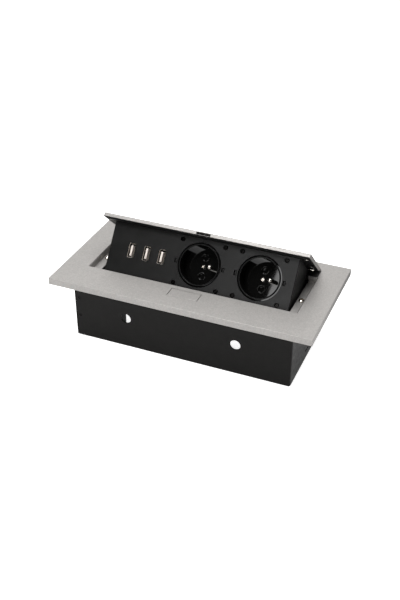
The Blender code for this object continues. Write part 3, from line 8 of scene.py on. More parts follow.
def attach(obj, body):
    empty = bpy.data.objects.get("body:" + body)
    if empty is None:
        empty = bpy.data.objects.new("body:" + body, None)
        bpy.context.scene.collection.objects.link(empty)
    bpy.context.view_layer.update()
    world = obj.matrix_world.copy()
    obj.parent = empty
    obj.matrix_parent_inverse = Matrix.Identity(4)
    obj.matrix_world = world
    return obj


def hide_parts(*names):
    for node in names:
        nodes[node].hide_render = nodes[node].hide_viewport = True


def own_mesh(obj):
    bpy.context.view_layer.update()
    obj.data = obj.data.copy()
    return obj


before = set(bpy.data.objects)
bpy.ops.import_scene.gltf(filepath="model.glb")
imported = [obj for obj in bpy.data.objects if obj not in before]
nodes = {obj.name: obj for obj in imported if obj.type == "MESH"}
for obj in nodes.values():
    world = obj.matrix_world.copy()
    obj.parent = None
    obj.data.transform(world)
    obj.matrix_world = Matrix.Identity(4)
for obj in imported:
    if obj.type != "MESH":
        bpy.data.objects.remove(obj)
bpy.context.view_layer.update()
scene = bpy.context.scene

# Places repeated from the part. All lengths in this file are in metres.
PIVOT = Vector((0.0, 0.0433, 0.0444))
OPEN = math.radians(43.4)
FACE_LEAN = math.radians(6.8)
FACE_CLOSED = Vector((0.0, -0.0598, -0.0069))
FRAME_TOP = 0.0680
LEDGE_DROP = 0.0061
SOCKET_XS = (0.0, 0.0625)
USB_XS = (-0.0733, -0.0568, -0.0403)

# The unit at rest, which is open, and the middle of its face with Z pointing out of it
PIVOT_FRAME = Matrix.Translation(PIVOT) @ Matrix.Rotation(-OPEN, 4, "X")
FACE = PIVOT_FRAME @ Matrix.Translation(FACE_CLOSED) @ Matrix.Rotation(math.pi / 2 + FACE_LEAN, 4, "X")

# The photo's camera, in degrees, metres and pixels
CAMERA_AZIMUTH = 22.664
CAMERA_ELEVATION = 33.235
CAMERA_ROLL = 0.06
CAMERA_TARGET = Vector((-0.001015, 0, 0.036424))
CAMERA_DISTANCE = 0.94114
FOCAL_PIXELS = 934.066
PHOTO_HEIGHT = 600
SENSOR = 36

# Lamps: name, azimuth, elevation, distance, width, height, radiance at the part, lean back or None
LAMPS = (
    ("key", -2.5, 29.6, 0.732, 0.218, 0.41, 5.0, 10),
    ("front_top", -25, 68, 1.3, 0.50, 0.34, 15.0, None),
    ("overhead", 180, 78, 1.5, 1.6, 1.0, 2.2, None),
)
LAMP_TARGET = Vector((0, 0, 0.05))

# World strength in front of the part, behind it, and behind it as metal and glass see it
ROOM_FRONT = 0.024
ROOM_BACK = 0.64
ROOM_MIRRORED = 0.80
ROOM_SWEEP = (-0.25, 0.45)

# Floor: painted light that glows near the part and darkens along the slope from near to far, except for the
# camera
FLOOR_SIZE = 6.0
FLOOR_DROP = 0.0004
FLOOR_SLOPE = (0.25, 1.0, 0.0)
FLOOR_NEAR = 0.06
FLOOR_FAR = 0.17
FLOOR_MIRRORED = 0.12
FLOOR_LOOK = (
    # input, near, far, seen by the camera
    ("Base Color", 0.74, 0.22, 0.86),
    ("Emission Strength", 0.24, 0.0, 0.85),
)


# Material nodes

def map_range(tree, value, low, high, start=0.0, end=1.0, smooth=False):
    """Maps start..end to low..high, where each limit is a number or another node's output."""
    node = tree.nodes.new("ShaderNodeMapRange")
    if smooth:
        node.interpolation_type = "SMOOTHSTEP"
    for name, limit in (("From Min", start), ("From Max", end), ("To Min", low), ("To Max", high)):
        if isinstance(limit, bpy.types.NodeSocket):
            tree.links.new(limit, node.inputs[name])
        else:
            node.inputs[name].default_value = limit
    tree.links.new(value, node.inputs["Value"])
    return node.outputs["Result"]


def mix(tree, factor, value, other):
    """The value at factor 0, the number other at factor 1."""
    node = tree.nodes.new("ShaderNodeMix")
    tree.links.new(factor, node.inputs[0])
    tree.links.new(value, node.inputs[2])
    node.inputs[3].default_value = other
    return node.outputs[0]


def mirrored(tree, path):
    """1 for the rays that metal and glass send out, else 0."""
    node = tree.nodes.new("ShaderNodeMath")
    node.operation = "ADD"
    node.use_clamp = True
    tree.links.new(path.outputs["Is Glossy Ray"], node.inputs[0])
    tree.links.new(path.outputs["Is Transmission Ray"], node.inputs[1])
    return node.outputs[0]


class Surface:
    """A Principled material whose colour, roughness and relief vary over the surface."""

    NOISE_ROUGHNESS = 0.6
    NOISE_RANGE = (0.35, 0.65)
    VARIATION_DETAIL = 4.0
    RELIEF_DETAIL = 2.0
    LAYER_OFFSET = 1.3
    ROUGHNESS_OFFSET = 5.1
    RELIEF_OFFSET = 9.7
    BEVEL_SAMPLES = 6

    def __init__(self, name, colour, roughness, metallic=0.0, level=None):
        self.mat = bpy.data.materials.new(name)
        self.mat.use_nodes = True
        self.tree = self.mat.node_tree
        self.shader = self.tree.nodes["Principled BSDF"]
        self.shader.inputs["Base Color"].default_value = (*colour, 1.0)
        self.shader.inputs["Roughness"].default_value = roughness
        self.shader.inputs["Metallic"].default_value = metallic
        if level is not None:
            self.shader.inputs["Specular IOR Level"].default_value = level
        self.colour = colour
        self.roughness = roughness
        self.coords = self.tree.nodes.new("ShaderNodeTexCoord")
        self.normal = None

    def link(self, a, b):
        self.tree.links.new(a, b)

    def noise(self, scale, detail, stretch, offset):
        mapping = self.tree.nodes.new("ShaderNodeMapping")
        self.link(self.coords.outputs["Object"], mapping.inputs["Vector"])
        mapping.inputs["Location"].default_value = (offset, offset * 1.7, -offset)
        if stretch:
            mapping.inputs["Scale"].default_value = stretch
        texture = self.tree.nodes.new("ShaderNodeTexNoise")
        texture.inputs["Scale"].default_value = scale
        texture.inputs["Detail"].default_value = detail
        texture.inputs["Roughness"].default_value = self.NOISE_ROUGHNESS
        self.link(mapping.outputs["Vector"], texture.inputs["Vector"])
        return texture.outputs["Fac"]

    def around(self, middle, amount, scale, stretch, offset):
        """Noise that runs from middle - amount to middle + amount."""
        value = self.noise(scale, self.VARIATION_DETAIL, stretch, offset)
        return map_range(self.tree, value, middle - amount, middle + amount, *self.NOISE_RANGE)

    def vary_colour(self, *layers):
        """Each layer is (scale, amount, stretch): the colour is multiplied by 1 plus or minus the amount."""
        source = None
        for i, (scale, amount, stretch) in enumerate(layers):
            factor = self.around(1, amount, scale, stretch, self.LAYER_OFFSET * i)
            if source is None:
                source = factor
            else:
                times = self.tree.nodes.new("ShaderNodeMath")
                times.operation = "MULTIPLY"
                self.link(source, times.inputs[0])
                self.link(factor, times.inputs[1])
                source = times.outputs[0]
        scaled = self.tree.nodes.new("ShaderNodeVectorMath")
        scaled.operation = "SCALE"
        scaled.inputs[0].default_value = self.colour
        self.link(source, scaled.inputs["Scale"])
        self.link(scaled.outputs["Vector"], self.shader.inputs["Base Color"])

    def vary_roughness(self, scale, amount, stretch=None):
        self.link(self.around(self.roughness, amount, scale, stretch, self.ROUGHNESS_OFFSET),
                  self.shader.inputs["Roughness"])

    def rounded_edges(self, radius):
        bevel = self.tree.nodes.new("ShaderNodeBevel")
        bevel.samples = self.BEVEL_SAMPLES
        bevel.inputs["Radius"].default_value = radius
        self.normal = bevel.outputs["Normal"]
        self.link(self.normal, self.shader.inputs["Normal"])

    def relief(self, scale, strength, distance, stretch=None):
        bump = self.tree.nodes.new("ShaderNodeBump")
        bump.inputs["Strength"].default_value = strength
        bump.inputs["Distance"].default_value = distance
        self.link(self.noise(scale, self.RELIEF_DETAIL, stretch, self.RELIEF_OFFSET), bump.inputs["Height"])
        if self.normal is not None:
            self.link(self.normal, bump.inputs["Normal"])
        self.normal = bump.outputs["Normal"]
        self.link(self.normal, self.shader.inputs["Normal"])


# Kinds of surface. Scales are in 1/m, edge radii and relief distances in metres.

def anodised(name, colour, roughness, metallic):
    surface = Surface(name, colour, roughness, metallic)
    surface.vary_colour((950, 0.09, None), (420, 0.03, None), (38, 0.018, None))
    surface.vary_roughness(700, 0.05)
    surface.rounded_edges(0.0002)
    surface.relief(950, 0.38, 0.00008)
    return surface.mat


def powder_coat(name, colour, roughness, level):
    surface = Surface(name, colour, roughness, level=level)
    surface.vary_colour((420, 0.16, None), (90, 0.10, None))
    surface.vary_roughness(220, 0.06)
    surface.rounded_edges(0.0003)
    surface.relief(560, 0.75, 0.00010)
    return surface.mat


def moulded(name, colour, roughness, level, grain=2200, strength=0.22, edge=0.0002):
    surface = Surface(name, colour, roughness, level=level)
    surface.vary_colour((260, 0.06, None), (24, 0.05, None))
    surface.vary_roughness(90, 0.04 if strength else 0.01)
    if edge:
        surface.rounded_edges(edge)
    if strength:
        surface.relief(grain, strength, 0.00006)
    return surface.mat


def metal(name, colour, roughness, stretch=None, edge=0.0001, strength=0.15):
    surface = Surface(name, colour, roughness, 1.0)
    surface.vary_colour((700, 0.05, stretch), (90, 0.04, None))
    surface.vary_roughness(400, 0.05 if strength else 0.02, stretch)
    if edge:
        surface.rounded_edges(edge)
    if strength:
        surface.relief(1800, strength, 0.00003, stretch)
    return surface.mat


ALUMINIUM = anodised("anodised_frame", (0.462, 0.447, 0.432), 0.55, 0.94)
STEEL_COAT = powder_coat("powder_coated_sheet", (0.0036, 0.0031, 0.0026), 0.40, 0.18)
PANEL = moulded("panel_plastic", (0.0050, 0.0049, 0.0047), 0.40, 0.34, grain=950, strength=1.0)
BODY = moulded("body_plastic", (0.005, 0.005, 0.005), 0.52, 0.25)
# Near-black painted shade for the faces under the lid
LID_UNDERSIDE_SHADE = moulded("lid_underside_painted_shade", (0.013, 0.0125, 0.012), 0.50, 0.40)
# Dark grey plastic of the rear bar, also used as painted shade inside the lid's latch slot
BAR_AND_SLOT_SHADE = moulded("bar_plastic_and_slot_shade", (0.040, 0.039, 0.037), 0.45, 0.50)
GLOSS = moulded("gloss_socket", (0.0040, 0.0040, 0.0039), 0.03, 0.42, strength=0, edge=0)
RING = moulded("socket_ring", (0.0045, 0.0044, 0.0043), 0.42, 0.16, strength=0, edge=0)
NICKEL = metal("nickel_plate", (0.78, 0.74, 0.68), 0.20, edge=0)
PIN = metal("earth_pin_plate", (0.80, 0.76, 0.70), 0.07, edge=0, strength=0)
STEEL = metal("zinc_steel", (0.62, 0.60, 0.57), 0.30)
BLACK_SCREW = metal("black_screw", (0.014, 0.0135, 0.013), 0.26)
USB_STEEL = metal("usb_shell_steel", (0.72, 0.68, 0.63), 0.28, stretch=(1.0, 6.0, 1.0), edge=0)
# Dark painted shade on the shell's inside walls, which are the same steel as its outside
USB_INSIDE_SHADE = metal("usb_shell_inside_shade", (0.05, 0.046, 0.042), 0.40)
IVORY = moulded("ivory_tongue", (0.95, 0.86, 0.79), 0.35, 0.50, grain=1500, strength=0.08)
GOLD = metal("contact_gold", (0.85, 0.62, 0.30), 0.25)
BRASS = metal("brass_sleeve", (0.72, 0.55, 0.25), 0.30)
BOARD = moulded("solder_mask", (0.015, 0.11, 0.045), 0.35, 0.5, grain=800, strength=0.10)
RUBBER = moulded("black_rubber", (0.012, 0.012, 0.012), 0.75, 0.30, grain=1600, strength=0.35)
SPRING = metal("spring_wire", (0.50, 0.49, 0.47), 0.28)

# The first row with a start of the node's name gives its material. The lid is aluminium too, its screws and
# every other node are zinc-plated.
WARDROBE = (
    (("bezel_frame", "release_button"), ALUMINIUM),
    (("housing", "corner_bracket"), STEEL_COAT),
    (("rear_bar",), BAR_AND_SLOT_SHADE),
    (("face_panel",), PANEL),
    (("tilt_body", "latch_case", "terminal_box", "usb_supply"), BODY),
    (("socket_insert",), GLOSS),
    (("centre_screw", "earth_pin"), NICKEL),
    (("face_screw", "latch_slide", "stop_pin", "front_rivet", "side_rivet"), BLACK_SCREW),
    (("usb_shell",), USB_STEEL),
    (("usb_tongue",), IVORY),
    (("line_contact", "neutral_contact"), BRASS),
    (("usb_board",), BOARD),
    (("cable_gland",), RUBBER),
    (("tilt_spring", "latch_spring"), SPRING),
)


def dress_all():
    for name, node in nodes.items():
        mat = ALUMINIUM if name == "lid" else STEEL
        for starts, choice in WARDROBE:
            if name.startswith(starts):
                mat = choice
                break
        node.data.materials.clear()
        node.data.materials.append(mat)


# The latch slot in the lid's front edge: half its width, its depth, and how far it stays inside the edges
SLOT_HALF = 0.0070
SLOT_DEPTH = 0.0120
SLOT_SKIN = 0.0002

# How far up a face points when the lid is shut: below the first in the slot, below the second elsewhere, a face
# gets painted shade
SLOT_SHADE_BELOW = 0.5
UNDERSIDE_SHADE_BELOW = -0.6


def dress_underside():
    """The lid's faces that point down when it is shut get near-black painted shade, the inside of its latch slot
    dark grey painted shade.
    """
    lid = nodes["lid"]
    mesh = lid.data
    mesh.materials.append(LID_UNDERSIDE_SHADE)
    mesh.materials.append(BAR_AND_SLOT_SHADE)
    closed = PIVOT_FRAME.inverted() @ lid.matrix_world
    front = min((closed @ v.co).y for v in mesh.vertices)
    top = max((closed @ v.co).z for v in mesh.vertices)
    for poly in mesh.polygons:
        centre = closed @ poly.center
        facing = (closed.to_3x3() @ poly.normal).normalized()
        in_slot = (abs(centre.x) < SLOT_HALF and front + SLOT_SKIN < centre.y < front + SLOT_DEPTH
                   and centre.z < top - SLOT_SKIN)
        # Painted shade: dark grey inside the slot, near black under the lid
        if in_slot and facing.z < SLOT_SHADE_BELOW:
            poly.material_index = 2
        elif facing.z < UNDERSIDE_SHADE_BELOW:
            poly.material_index = 1


# Mesh helpers

def finish_mesh(name, bm, mat, place, angle=35.0):
    """The object of a bmesh, with edges sharper than the angle, in degrees, left sharp."""
    mesh = bpy.data.meshes.new(name)
    bmesh.ops.recalc_face_normals(bm, faces=bm.faces)
    bm.to_mesh(mesh)
    bm.free()
    mesh.materials.append(mat)
    obj = bpy.data.objects.new(name, mesh)
    scene.collection.objects.link(obj)
    obj.matrix_world = place
    mesh.shade_smooth()
    mesh.set_sharp_from_angle(angle=math.radians(angle))
    return obj


def rounded_profile(points, steps=4):
    """Corner points (r, z, fillet) turned into a smooth profile; a fillet takes up to 0.49 of a side."""
    out = []
    for i, (r, z, fillet) in enumerate(points):
        if fillet <= 0 or i in (0, len(points) - 1):
            out.append((r, z))
            continue
        here = Vector((r, z))
        to_before = Vector(points[i - 1][:2]) - here
        to_after = Vector(points[i + 1][:2]) - here
        a = to_before.normalized()
        b = to_after.normalized()
        angle = a.angle(b)
        reach = min(fillet / math.tan(angle / 2), to_before.length * 0.49, to_after.length * 0.49)
        radius = reach * math.tan(angle / 2)
        centre = here + (a + b).normalized() * (radius / math.sin(angle / 2))
        from_start = here + a * reach - centre
        from_end = here + b * reach - centre
        turn = from_start.angle_signed(from_end)
        for s in range(steps + 1):
            spoke = from_start.copy()
            spoke.rotate(Matrix.Rotation(-turn * s / steps, 2))
            out.append(tuple(centre + spoke))
    return out


def lathe(bm, profile, steps, centre=(0, 0)):
    """Turns a profile about the local Z axis; points on the axis become one vertex."""
    rings = []
    for r, z in profile:
        if r < 1e-7:
            rings.append([bm.verts.new((centre[0], centre[1], z))])
        else:
            rings.append([bm.verts.new((centre[0] + r * math.cos(2 * math.pi * i / steps),
                                        centre[1] + r * math.sin(2 * math.pi * i / steps), z))
                          for i in range(steps)])
    for a, b in zip(rings, rings[1:]):
        for i in range(steps):
            j = (i + 1) % steps
            quad = [a[i % len(a)], a[j % len(a)], b[j % len(b)], b[i % len(b)]]
            face = list(dict.fromkeys(quad))
            if len(face) > 2:
                bm.faces.new(face)
    return rings


def loop_outline(width, height, radius, steps=6):
    """The points of a rectangle with rounded corners."""
    points = []
    for q, (sx, sy) in enumerate(((1, 1), (-1, 1), (-1, -1), (1, -1))):
        for s in range(steps + 1):
            a = q * math.pi / 2 + math.pi / 2 * s / steps
            points.append((sx * (width / 2 - radius) + radius * math.cos(a),
                           sy * (height / 2 - radius) + radius * math.sin(a)))
    return points


def loft(bm, sections):
    """Joins neighbouring sections, each an (outline, z), and the last one back to the first."""
    rings = [[bm.verts.new((x, y, z)) for x, y in outline] for outline, z in sections]
    for a, b in zip(rings, rings[1:] + rings[:1]):
        for i in range(len(a)):
            j = (i + 1) % len(a)
            bm.faces.new((a[i], a[j], b[j], b[i]))


def bevelled_box(bm, low, high, bevel):
    low, high = Vector(low), Vector(high)
    made = bmesh.ops.create_cube(bm, size=1.0, matrix=Matrix.Translation((low + high) / 2)
                                 @ Matrix.Diagonal((*(high - low), 1.0)))
    edges = list({e for v in made["verts"] for e in v.link_edges})
    bmesh.ops.bevel(bm, geom=edges, offset=bevel, segments=2, profile=0.5, affect="EDGES")


def weld_floor(bm, rims, outer):
    """Fills the floor between the outer loop and the rims inside it."""
    edges = []
    for ring in [outer, *rims]:
        for i in range(len(ring)):
            ends = (ring[i], ring[(i + 1) % len(ring)])
            edges.append(bm.edges.get(ends) or bm.edges.new(ends))
    bmesh.ops.triangle_fill(bm, use_beauty=True, use_dissolve=False, edges=edges)


# Screws: radius and height of the head, radius and length of the shank
CENTRE_SCREW = (0.0023, 0.0014, 0.0013, 0.0090)
FACE_SCREW = (0.0023, 0.0012, 0.0012, 0.0072)
LEDGE_SCREW = (0.00285, 0.0015, 0.0014, 0.0085)

# The driver's cross and the pan head, as shares of the head's radius or height
CROSS_ARM = 0.62
CROSS_THIN = 0.16
CROSS_DEPTH = 0.62
CROSS_TAPER = 0.82
HEAD_FLAT = 0.70
HEAD_SHOULDER = 0.97
HEAD_DOME = 0.4


def cross_screw(name, size, mat, place, steps=40):
    """A pan head with a driver's cross sunk in it."""
    head, height, shank, length = size
    arm, thin = head * CROSS_ARM, head * CROSS_THIN
    bm = bmesh.new()
    outline = []
    for q in range(4):
        turn = Matrix.Rotation(q * math.pi / 2, 2)
        for p in ((arm, -thin), (arm, thin), (thin, thin)):
            outline.append(tuple(turn @ Vector(p)))
    upper = [bm.verts.new((px, py, height)) for px, py in outline]
    lower = [bm.verts.new((px * CROSS_TAPER, py * CROSS_TAPER, height - height * CROSS_DEPTH))
             for px, py in outline]
    for i in range(len(upper)):
        j = (i + 1) % len(upper)
        bm.faces.new((upper[i], upper[j], lower[j], lower[i]))
    bm.faces.new(lower)
    profile = rounded_profile([
        (head * HEAD_FLAT, height, 0),
        (head * HEAD_SHOULDER, height * (1 - HEAD_DOME), height * 0.5),
        (head, 0.0, 0.0001),
        (shank, 0.0, 0),
        (shank, -length, 0),
        (0.0, -length, 0),
    ], steps=5)
    rings = lathe(bm, profile, steps)
    weld_floor(bm, [upper], rings[0])
    return finish_mesh(name, bm, mat, place, 32.0)


# Sockets: radii, and heights above the face. The cup's floor lies at -DEPTH.
RECESS = 0.0196
DEPTH = 0.0150
RIM = 0.0006
RIM_RADIUS = 0.0208
GROOVE = -0.0009
GROOVE_RADIUS = 0.0221
FLANGE_RADIUS = 0.0238
FLANGE_FRONT = -0.0028
FLANGE_BACK = -0.0050
CUP_RADIUS = 0.0216
CUP_BACK = -DEPTH - 0.002
CUP_STEPS = 96

# Contact holes in the floor, the bosses around them, and the brass dome in each
HOLES = ((0.0, 0.0095), (0.0, -0.0095))
BOSS_FOOT = 0.0044
BOSS_RADIUS = 0.0036
BOSS_HEIGHT = 0.0009
HOLE_RADIUS = 0.0024
HOLE_CHAMFER = 0.0005
HOLE_DEPTH = 0.0050
DOME_RADIUS = 0.0014
BOSS_STEPS = 48

PIN_X = 0.0100
PIN_RADIUS = 0.0024
PIN_TOP = -0.0010
PIN_NOSE = 0.85
PIN_BACK = -DEPTH - 0.0080
NOSE_STEPS = 10
PIN_STEPS = 64

TAB_X = 0.0248
TAB_HALF_WIDTH = 0.0009
TAB_HALF_LENGTH = 0.0018


def contact_floor(bm):
    """Raised bosses with a chamfered hole in each, reaching down to the brass dome."""
    profile = rounded_profile([
        (BOSS_FOOT, -DEPTH, 0),
        (BOSS_RADIUS, -DEPTH + BOSS_HEIGHT, 0.0007),
        (HOLE_RADIUS, -DEPTH - HOLE_CHAMFER, 0.0006),
        (HOLE_RADIUS, -DEPTH - HOLE_DEPTH, 0),
        (DOME_RADIUS, -DEPTH - HOLE_DEPTH, 0),
        (0.0013, -DEPTH - 0.0042, 0.0004),
        (0.0009, -DEPTH - 0.0036, 0.0004),
        (0.0000, -DEPTH - 0.0034, 0),
    ])
    return [lathe(bm, profile, BOSS_STEPS, hole)[0] for hole in HOLES]


def socket_cup(number, x):
    """The cup with its rim, groove and flange, as one turned piece."""
    bm = bmesh.new()
    profile = [
        (0.0, -DEPTH, 0),
        (0.0186, -DEPTH, 0),
        (RECESS, -DEPTH, 0),
        (RECESS, -0.0006, 0),  # keeps the wall's shading apart from the rim's
        (RECESS, RIM - 0.0006, 0),
        (RECESS + 0.0001, RIM, 0.0005),
        (0.0207, RIM, 0.0004),
        (RIM_RADIUS, RIM - 0.0006, 0),
        (RIM_RADIUS, GROOVE, 0),
        (GROOVE_RADIUS, GROOVE, 0),
        (GROOVE_RADIUS, FLANGE_FRONT, 0),
        (FLANGE_RADIUS, FLANGE_FRONT, 0),
        (FLANGE_RADIUS, FLANGE_BACK, 0),
        (CUP_RADIUS, FLANGE_BACK, 0),
        (CUP_RADIUS, CUP_BACK, 0.0004),
        (0.0, CUP_BACK, 0),
    ]
    bosses = contact_floor(bm)
    rings = lathe(bm, rounded_profile(profile)[1:-1], CUP_STEPS)
    weld_floor(bm, bosses, rings[0])
    bm.faces.new(rings[-1])
    cup = finish_mesh(f"socket_cup_{number}", bm, GLOSS, FACE @ Matrix.Translation((x, 0, 0)), 30.0)
    cup.data.materials.append(RING)
    cup.data.materials.append(BRASS)
    for poly in cup.data.polygons:
        px, py, pz = poly.center
        if math.hypot(px, py) > RECESS - 0.0001 and pz > RIM - 0.0003:
            poly.material_index = 1
        elif pz > -DEPTH - 0.0060 and any(math.hypot(px - hx, py - hy) < DOME_RADIUS for hx, hy in HOLES):
            poly.material_index = 2
    return cup


def socket_flange(number, x):
    """The plate behind the panel, the block of contacts behind the cup and the two snap tabs."""
    bm = bmesh.new()
    outer = loop_outline(0.0518, 0.0480, 0.0020, 3)
    angles = [2 * math.pi * i / len(outer) + math.pi / 16 for i in range(len(outer))]
    inner = [(0.0240 * math.cos(a), 0.0238 * math.sin(a)) for a in angles]
    loft(bm, [(outer, FLANGE_FRONT), (outer, FLANGE_BACK), (inner, FLANGE_BACK), (inner, FLANGE_FRONT)])
    bevelled_box(bm, (-0.0088, -0.0143, -0.0253), (0.0148, 0.0143, -0.0172), 0.0006)
    for side in (-TAB_X, TAB_X):
        bevelled_box(bm, (side - TAB_HALF_WIDTH, -TAB_HALF_LENGTH, -0.0040),
                     (side + TAB_HALF_WIDTH, TAB_HALF_LENGTH, -0.0009), 0.0002)
    return finish_mesh(f"socket_back_{number}", bm, BODY, FACE @ Matrix.Translation((x, 0, 0)), 30.0)


def earth_pin(number, x):
    bm = bmesh.new()
    angles = [math.pi / 2 * i / NOSE_STEPS for i in range(NOSE_STEPS + 1)]
    nose = [(PIN_RADIUS * math.sin(a), PIN_TOP - PIN_RADIUS * PIN_NOSE * (1 - math.cos(a))) for a in angles]
    lathe(bm, [*nose, (PIN_RADIUS, PIN_BACK), (0.0, PIN_BACK)], PIN_STEPS)
    place = FACE @ Matrix.Translation((x + PIN_X, 0, 0))
    return finish_mesh(f"earth_pin_turned_{number}", bm, PIN, place, 40.0)


def socket_details():
    for number, x in enumerate(SOCKET_XS, start=1):
        cup = socket_cup(number, x)
        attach(cup, "socket_unit")
        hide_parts(f"socket_insert_{number}")
        flange = socket_flange(number, x)
        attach(flange, "socket_unit")
        pin = earth_pin(number, x)
        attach(pin, "socket_unit")
        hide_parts(f"earth_pin_{number}")
        turn = Matrix.Rotation(math.radians(20 + 25 * number), 4, "Z")
        place = FACE @ Matrix.Translation((x, 0, -DEPTH + 0.0003)) @ turn
        screw = cross_screw(f"centre_screw_head_{number}", CENTRE_SCREW, NICKEL, place)
        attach(screw, "socket_unit")
        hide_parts(f"centre_screw_{number}")


# USB ports. The shell is lofted from the outside back to the inside back: width, height, corner radius, z.
SHELL_SECTIONS = (
    (0.0064, 0.0139, 0.0009, -0.0120),
    (0.0064, 0.0139, 0.0009, 0.0001),
    (0.0070, 0.0146, 0.0014, 0.0003),
    (0.0071, 0.0147, 0.0015, 0.0005),
    (0.0069, 0.0145, 0.0014, 0.0006),
    (0.0066, 0.0142, 0.0012, 0.0005),
    (0.0062, 0.0138, 0.0010, 0.0001),
    (0.0060, 0.0136, 0.0009, -0.0005),
    (0.0059, 0.0135, 0.0008, -0.0024),
    (0.0058, 0.0134, 0.0008, -0.0120),
)
# Painted shade: the shell's walls deeper than the first and inside the half width and half height of the second
# are dark
SHELL_SHADE_DEPTH = 0.0010
SHELL_SHADE_HALVES = (0.00303, 0.00683)
GRIP_YS = (-0.0030, 0.0030)
GRIP_HALF = 0.0009
PAD_FIRST = -0.0039
PAD_PITCH = 0.0026
PAD_HALF = 0.0005
PADS = 4


def usb_shell(number, place):
    """The drawn shell with the sprung tips that grip a plug, with dark painted shade on its walls beyond the lip.
    """
    bm = bmesh.new()
    loft(bm, [(loop_outline(width, height, radius), z) for width, height, radius, z in SHELL_SECTIONS])
    for low_x, high_x in ((-0.0028, -0.0020), (0.0020, 0.0028)):
        for y in GRIP_YS:
            bevelled_box(bm, (low_x, y - GRIP_HALF, -0.0075), (high_x, y + GRIP_HALF, -0.0068), 0.0001)
    shell = finish_mesh(f"usb_shell_formed_{number}", bm, USB_STEEL, place, 40.0)
    shell.data.materials.append(USB_INSIDE_SHADE)
    half_width, half_height = SHELL_SHADE_HALVES
    for poly in shell.data.polygons:
        px, py, pz = poly.center
        # Painted shade deeper inside the shell
        if pz < -SHELL_SHADE_DEPTH and abs(px) < half_width and abs(py) < half_height:
            poly.material_index = 1
    return shell


def usb_tongue(number, place):
    """The tongue and its block, with four gold pads on the tongue's left side."""
    bm = bmesh.new()
    bevelled_box(bm, (-0.0024, -0.0061, -0.0120), (0.0024, 0.0061, -0.0090), 0.0001)
    bevelled_box(bm, (-0.00180, -0.0054, -0.0092), (0.00025, 0.0054, -0.0010), 0.0002)
    tongue = finish_mesh(f"usb_tongue_moulded_{number}", bm, IVORY, place, 40.0)
    tongue.data.materials.append(GOLD)
    pads = bmesh.new()
    pads.from_mesh(tongue.data)
    before = len(pads.faces)
    for i in range(PADS):
        y = PAD_FIRST + PAD_PITCH * i
        bevelled_box(pads, (-0.00190, y - PAD_HALF, -0.0088), (-0.00165, y + PAD_HALF, -0.0022), 0.00005)
    pads.faces.ensure_lookup_table()
    for face in pads.faces[before:]:
        face.material_index = 1
    pads.to_mesh(tongue.data)
    pads.free()
    return tongue


def usb_ports():
    for number, x in enumerate(USB_XS, start=1):
        place = FACE @ Matrix.Translation((x, 0, 0))
        shell = usb_shell(number, place)
        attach(shell, "socket_unit")
        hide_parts(f"usb_shell_{number}")
        tongue = usb_tongue(number, place)
        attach(tongue, "socket_unit")
        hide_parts(f"usb_tongue_{number}")


# Screws in the face and on the ledges
FACE_SCREW_X = 0.0225
FACE_SCREW_Y = 0.0219
FACE_SCREW_SINK = 0.0013
FACE_SCREWS = (("top_left", -1, 1), ("top_right", 1, 1), ("bottom_left", -1, -1), ("bottom_right", 1, -1))
LEDGE_SCREWS = (("frame_screw_left", -0.1041, 20), ("frame_screw_right", 0.1041, 65))
LEDGE_SCREW_RISE = 0.0003


def face_screws():
    for number, x in enumerate(SOCKET_XS, start=1):
        for i, (label, sx, sy) in enumerate(FACE_SCREWS):
            turn = Matrix.Rotation(math.radians(17 + 31 * i + 13 * number), 4, "Z")
            place = FACE @ Matrix.Translation((x + sx * FACE_SCREW_X, sy * FACE_SCREW_Y, -FACE_SCREW_SINK)) @ turn
            name = f"face_screw_{number}_{label}"
            screw = cross_screw(name + "_head", FACE_SCREW, BLACK_SCREW, place, 32)
            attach(screw, "socket_unit")
            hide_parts(name)


def ledge_screws():
    for name, x, degrees in LEDGE_SCREWS:
        turn = Matrix.Rotation(math.radians(degrees), 4, "Z")
        place = Matrix.Translation((x, 0, FRAME_TOP - LEDGE_DROP + LEDGE_SCREW_RISE)) @ turn
        screw = cross_screw(name + "_head", LEDGE_SCREW, NICKEL, place)
        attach(screw, "base")
        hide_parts(name)


# Studs under the ends of the lid, just clear of the ledges when it is shut
STUD_RADIUS = 0.0009
STUD_LENGTH = 0.0060
STUD_POINT = 0.0063
STUD_PLACE = (0.0978, -0.0239, 0.01868)
STUD_STEPS = 32


def lid_studs():
    for label, side in (("left", -1), ("right", 1)):
        bm = bmesh.new()
        lathe(bm, rounded_profile([
            (0.0, 0.0, 0),
            (STUD_RADIUS, 0.0, 0),
            (STUD_RADIUS, STUD_LENGTH, 0.0003),
            (0.0, STUD_POINT, 0),
        ]), STUD_STEPS)
        x, y, z = STUD_PLACE
        outward = Matrix.Rotation(side * math.pi / 2, 4, "Y")
        place = PIVOT_FRAME @ Matrix.Translation((side * x, y, z)) @ outward
        stud = finish_mesh("lid_stud_" + label, bm, NICKEL, place, 40.0)
        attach(stud, "socket_unit")


# Latch springs, each copied as it is onto the base; on the real unit they shorten as the latch draws back

def latch_springs():
    for name in ("latch_spring_left", "latch_spring_right"):
        node = nodes[name]
        spring = bpy.data.objects.new(name + "_coil", node.data.copy())
        scene.collection.objects.link(spring)
        spring.matrix_world = node.matrix_world.copy()
        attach(spring, "base")
        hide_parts(name)
        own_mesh(spring)


# Studio

def toward(azimuth, elevation):
    """A unit vector; the azimuth is 0 in front of the part and grows to the right. Both are in radians."""
    return Vector((math.sin(azimuth) * math.cos(elevation), -math.cos(azimuth) * math.cos(elevation),
                   math.sin(elevation)))


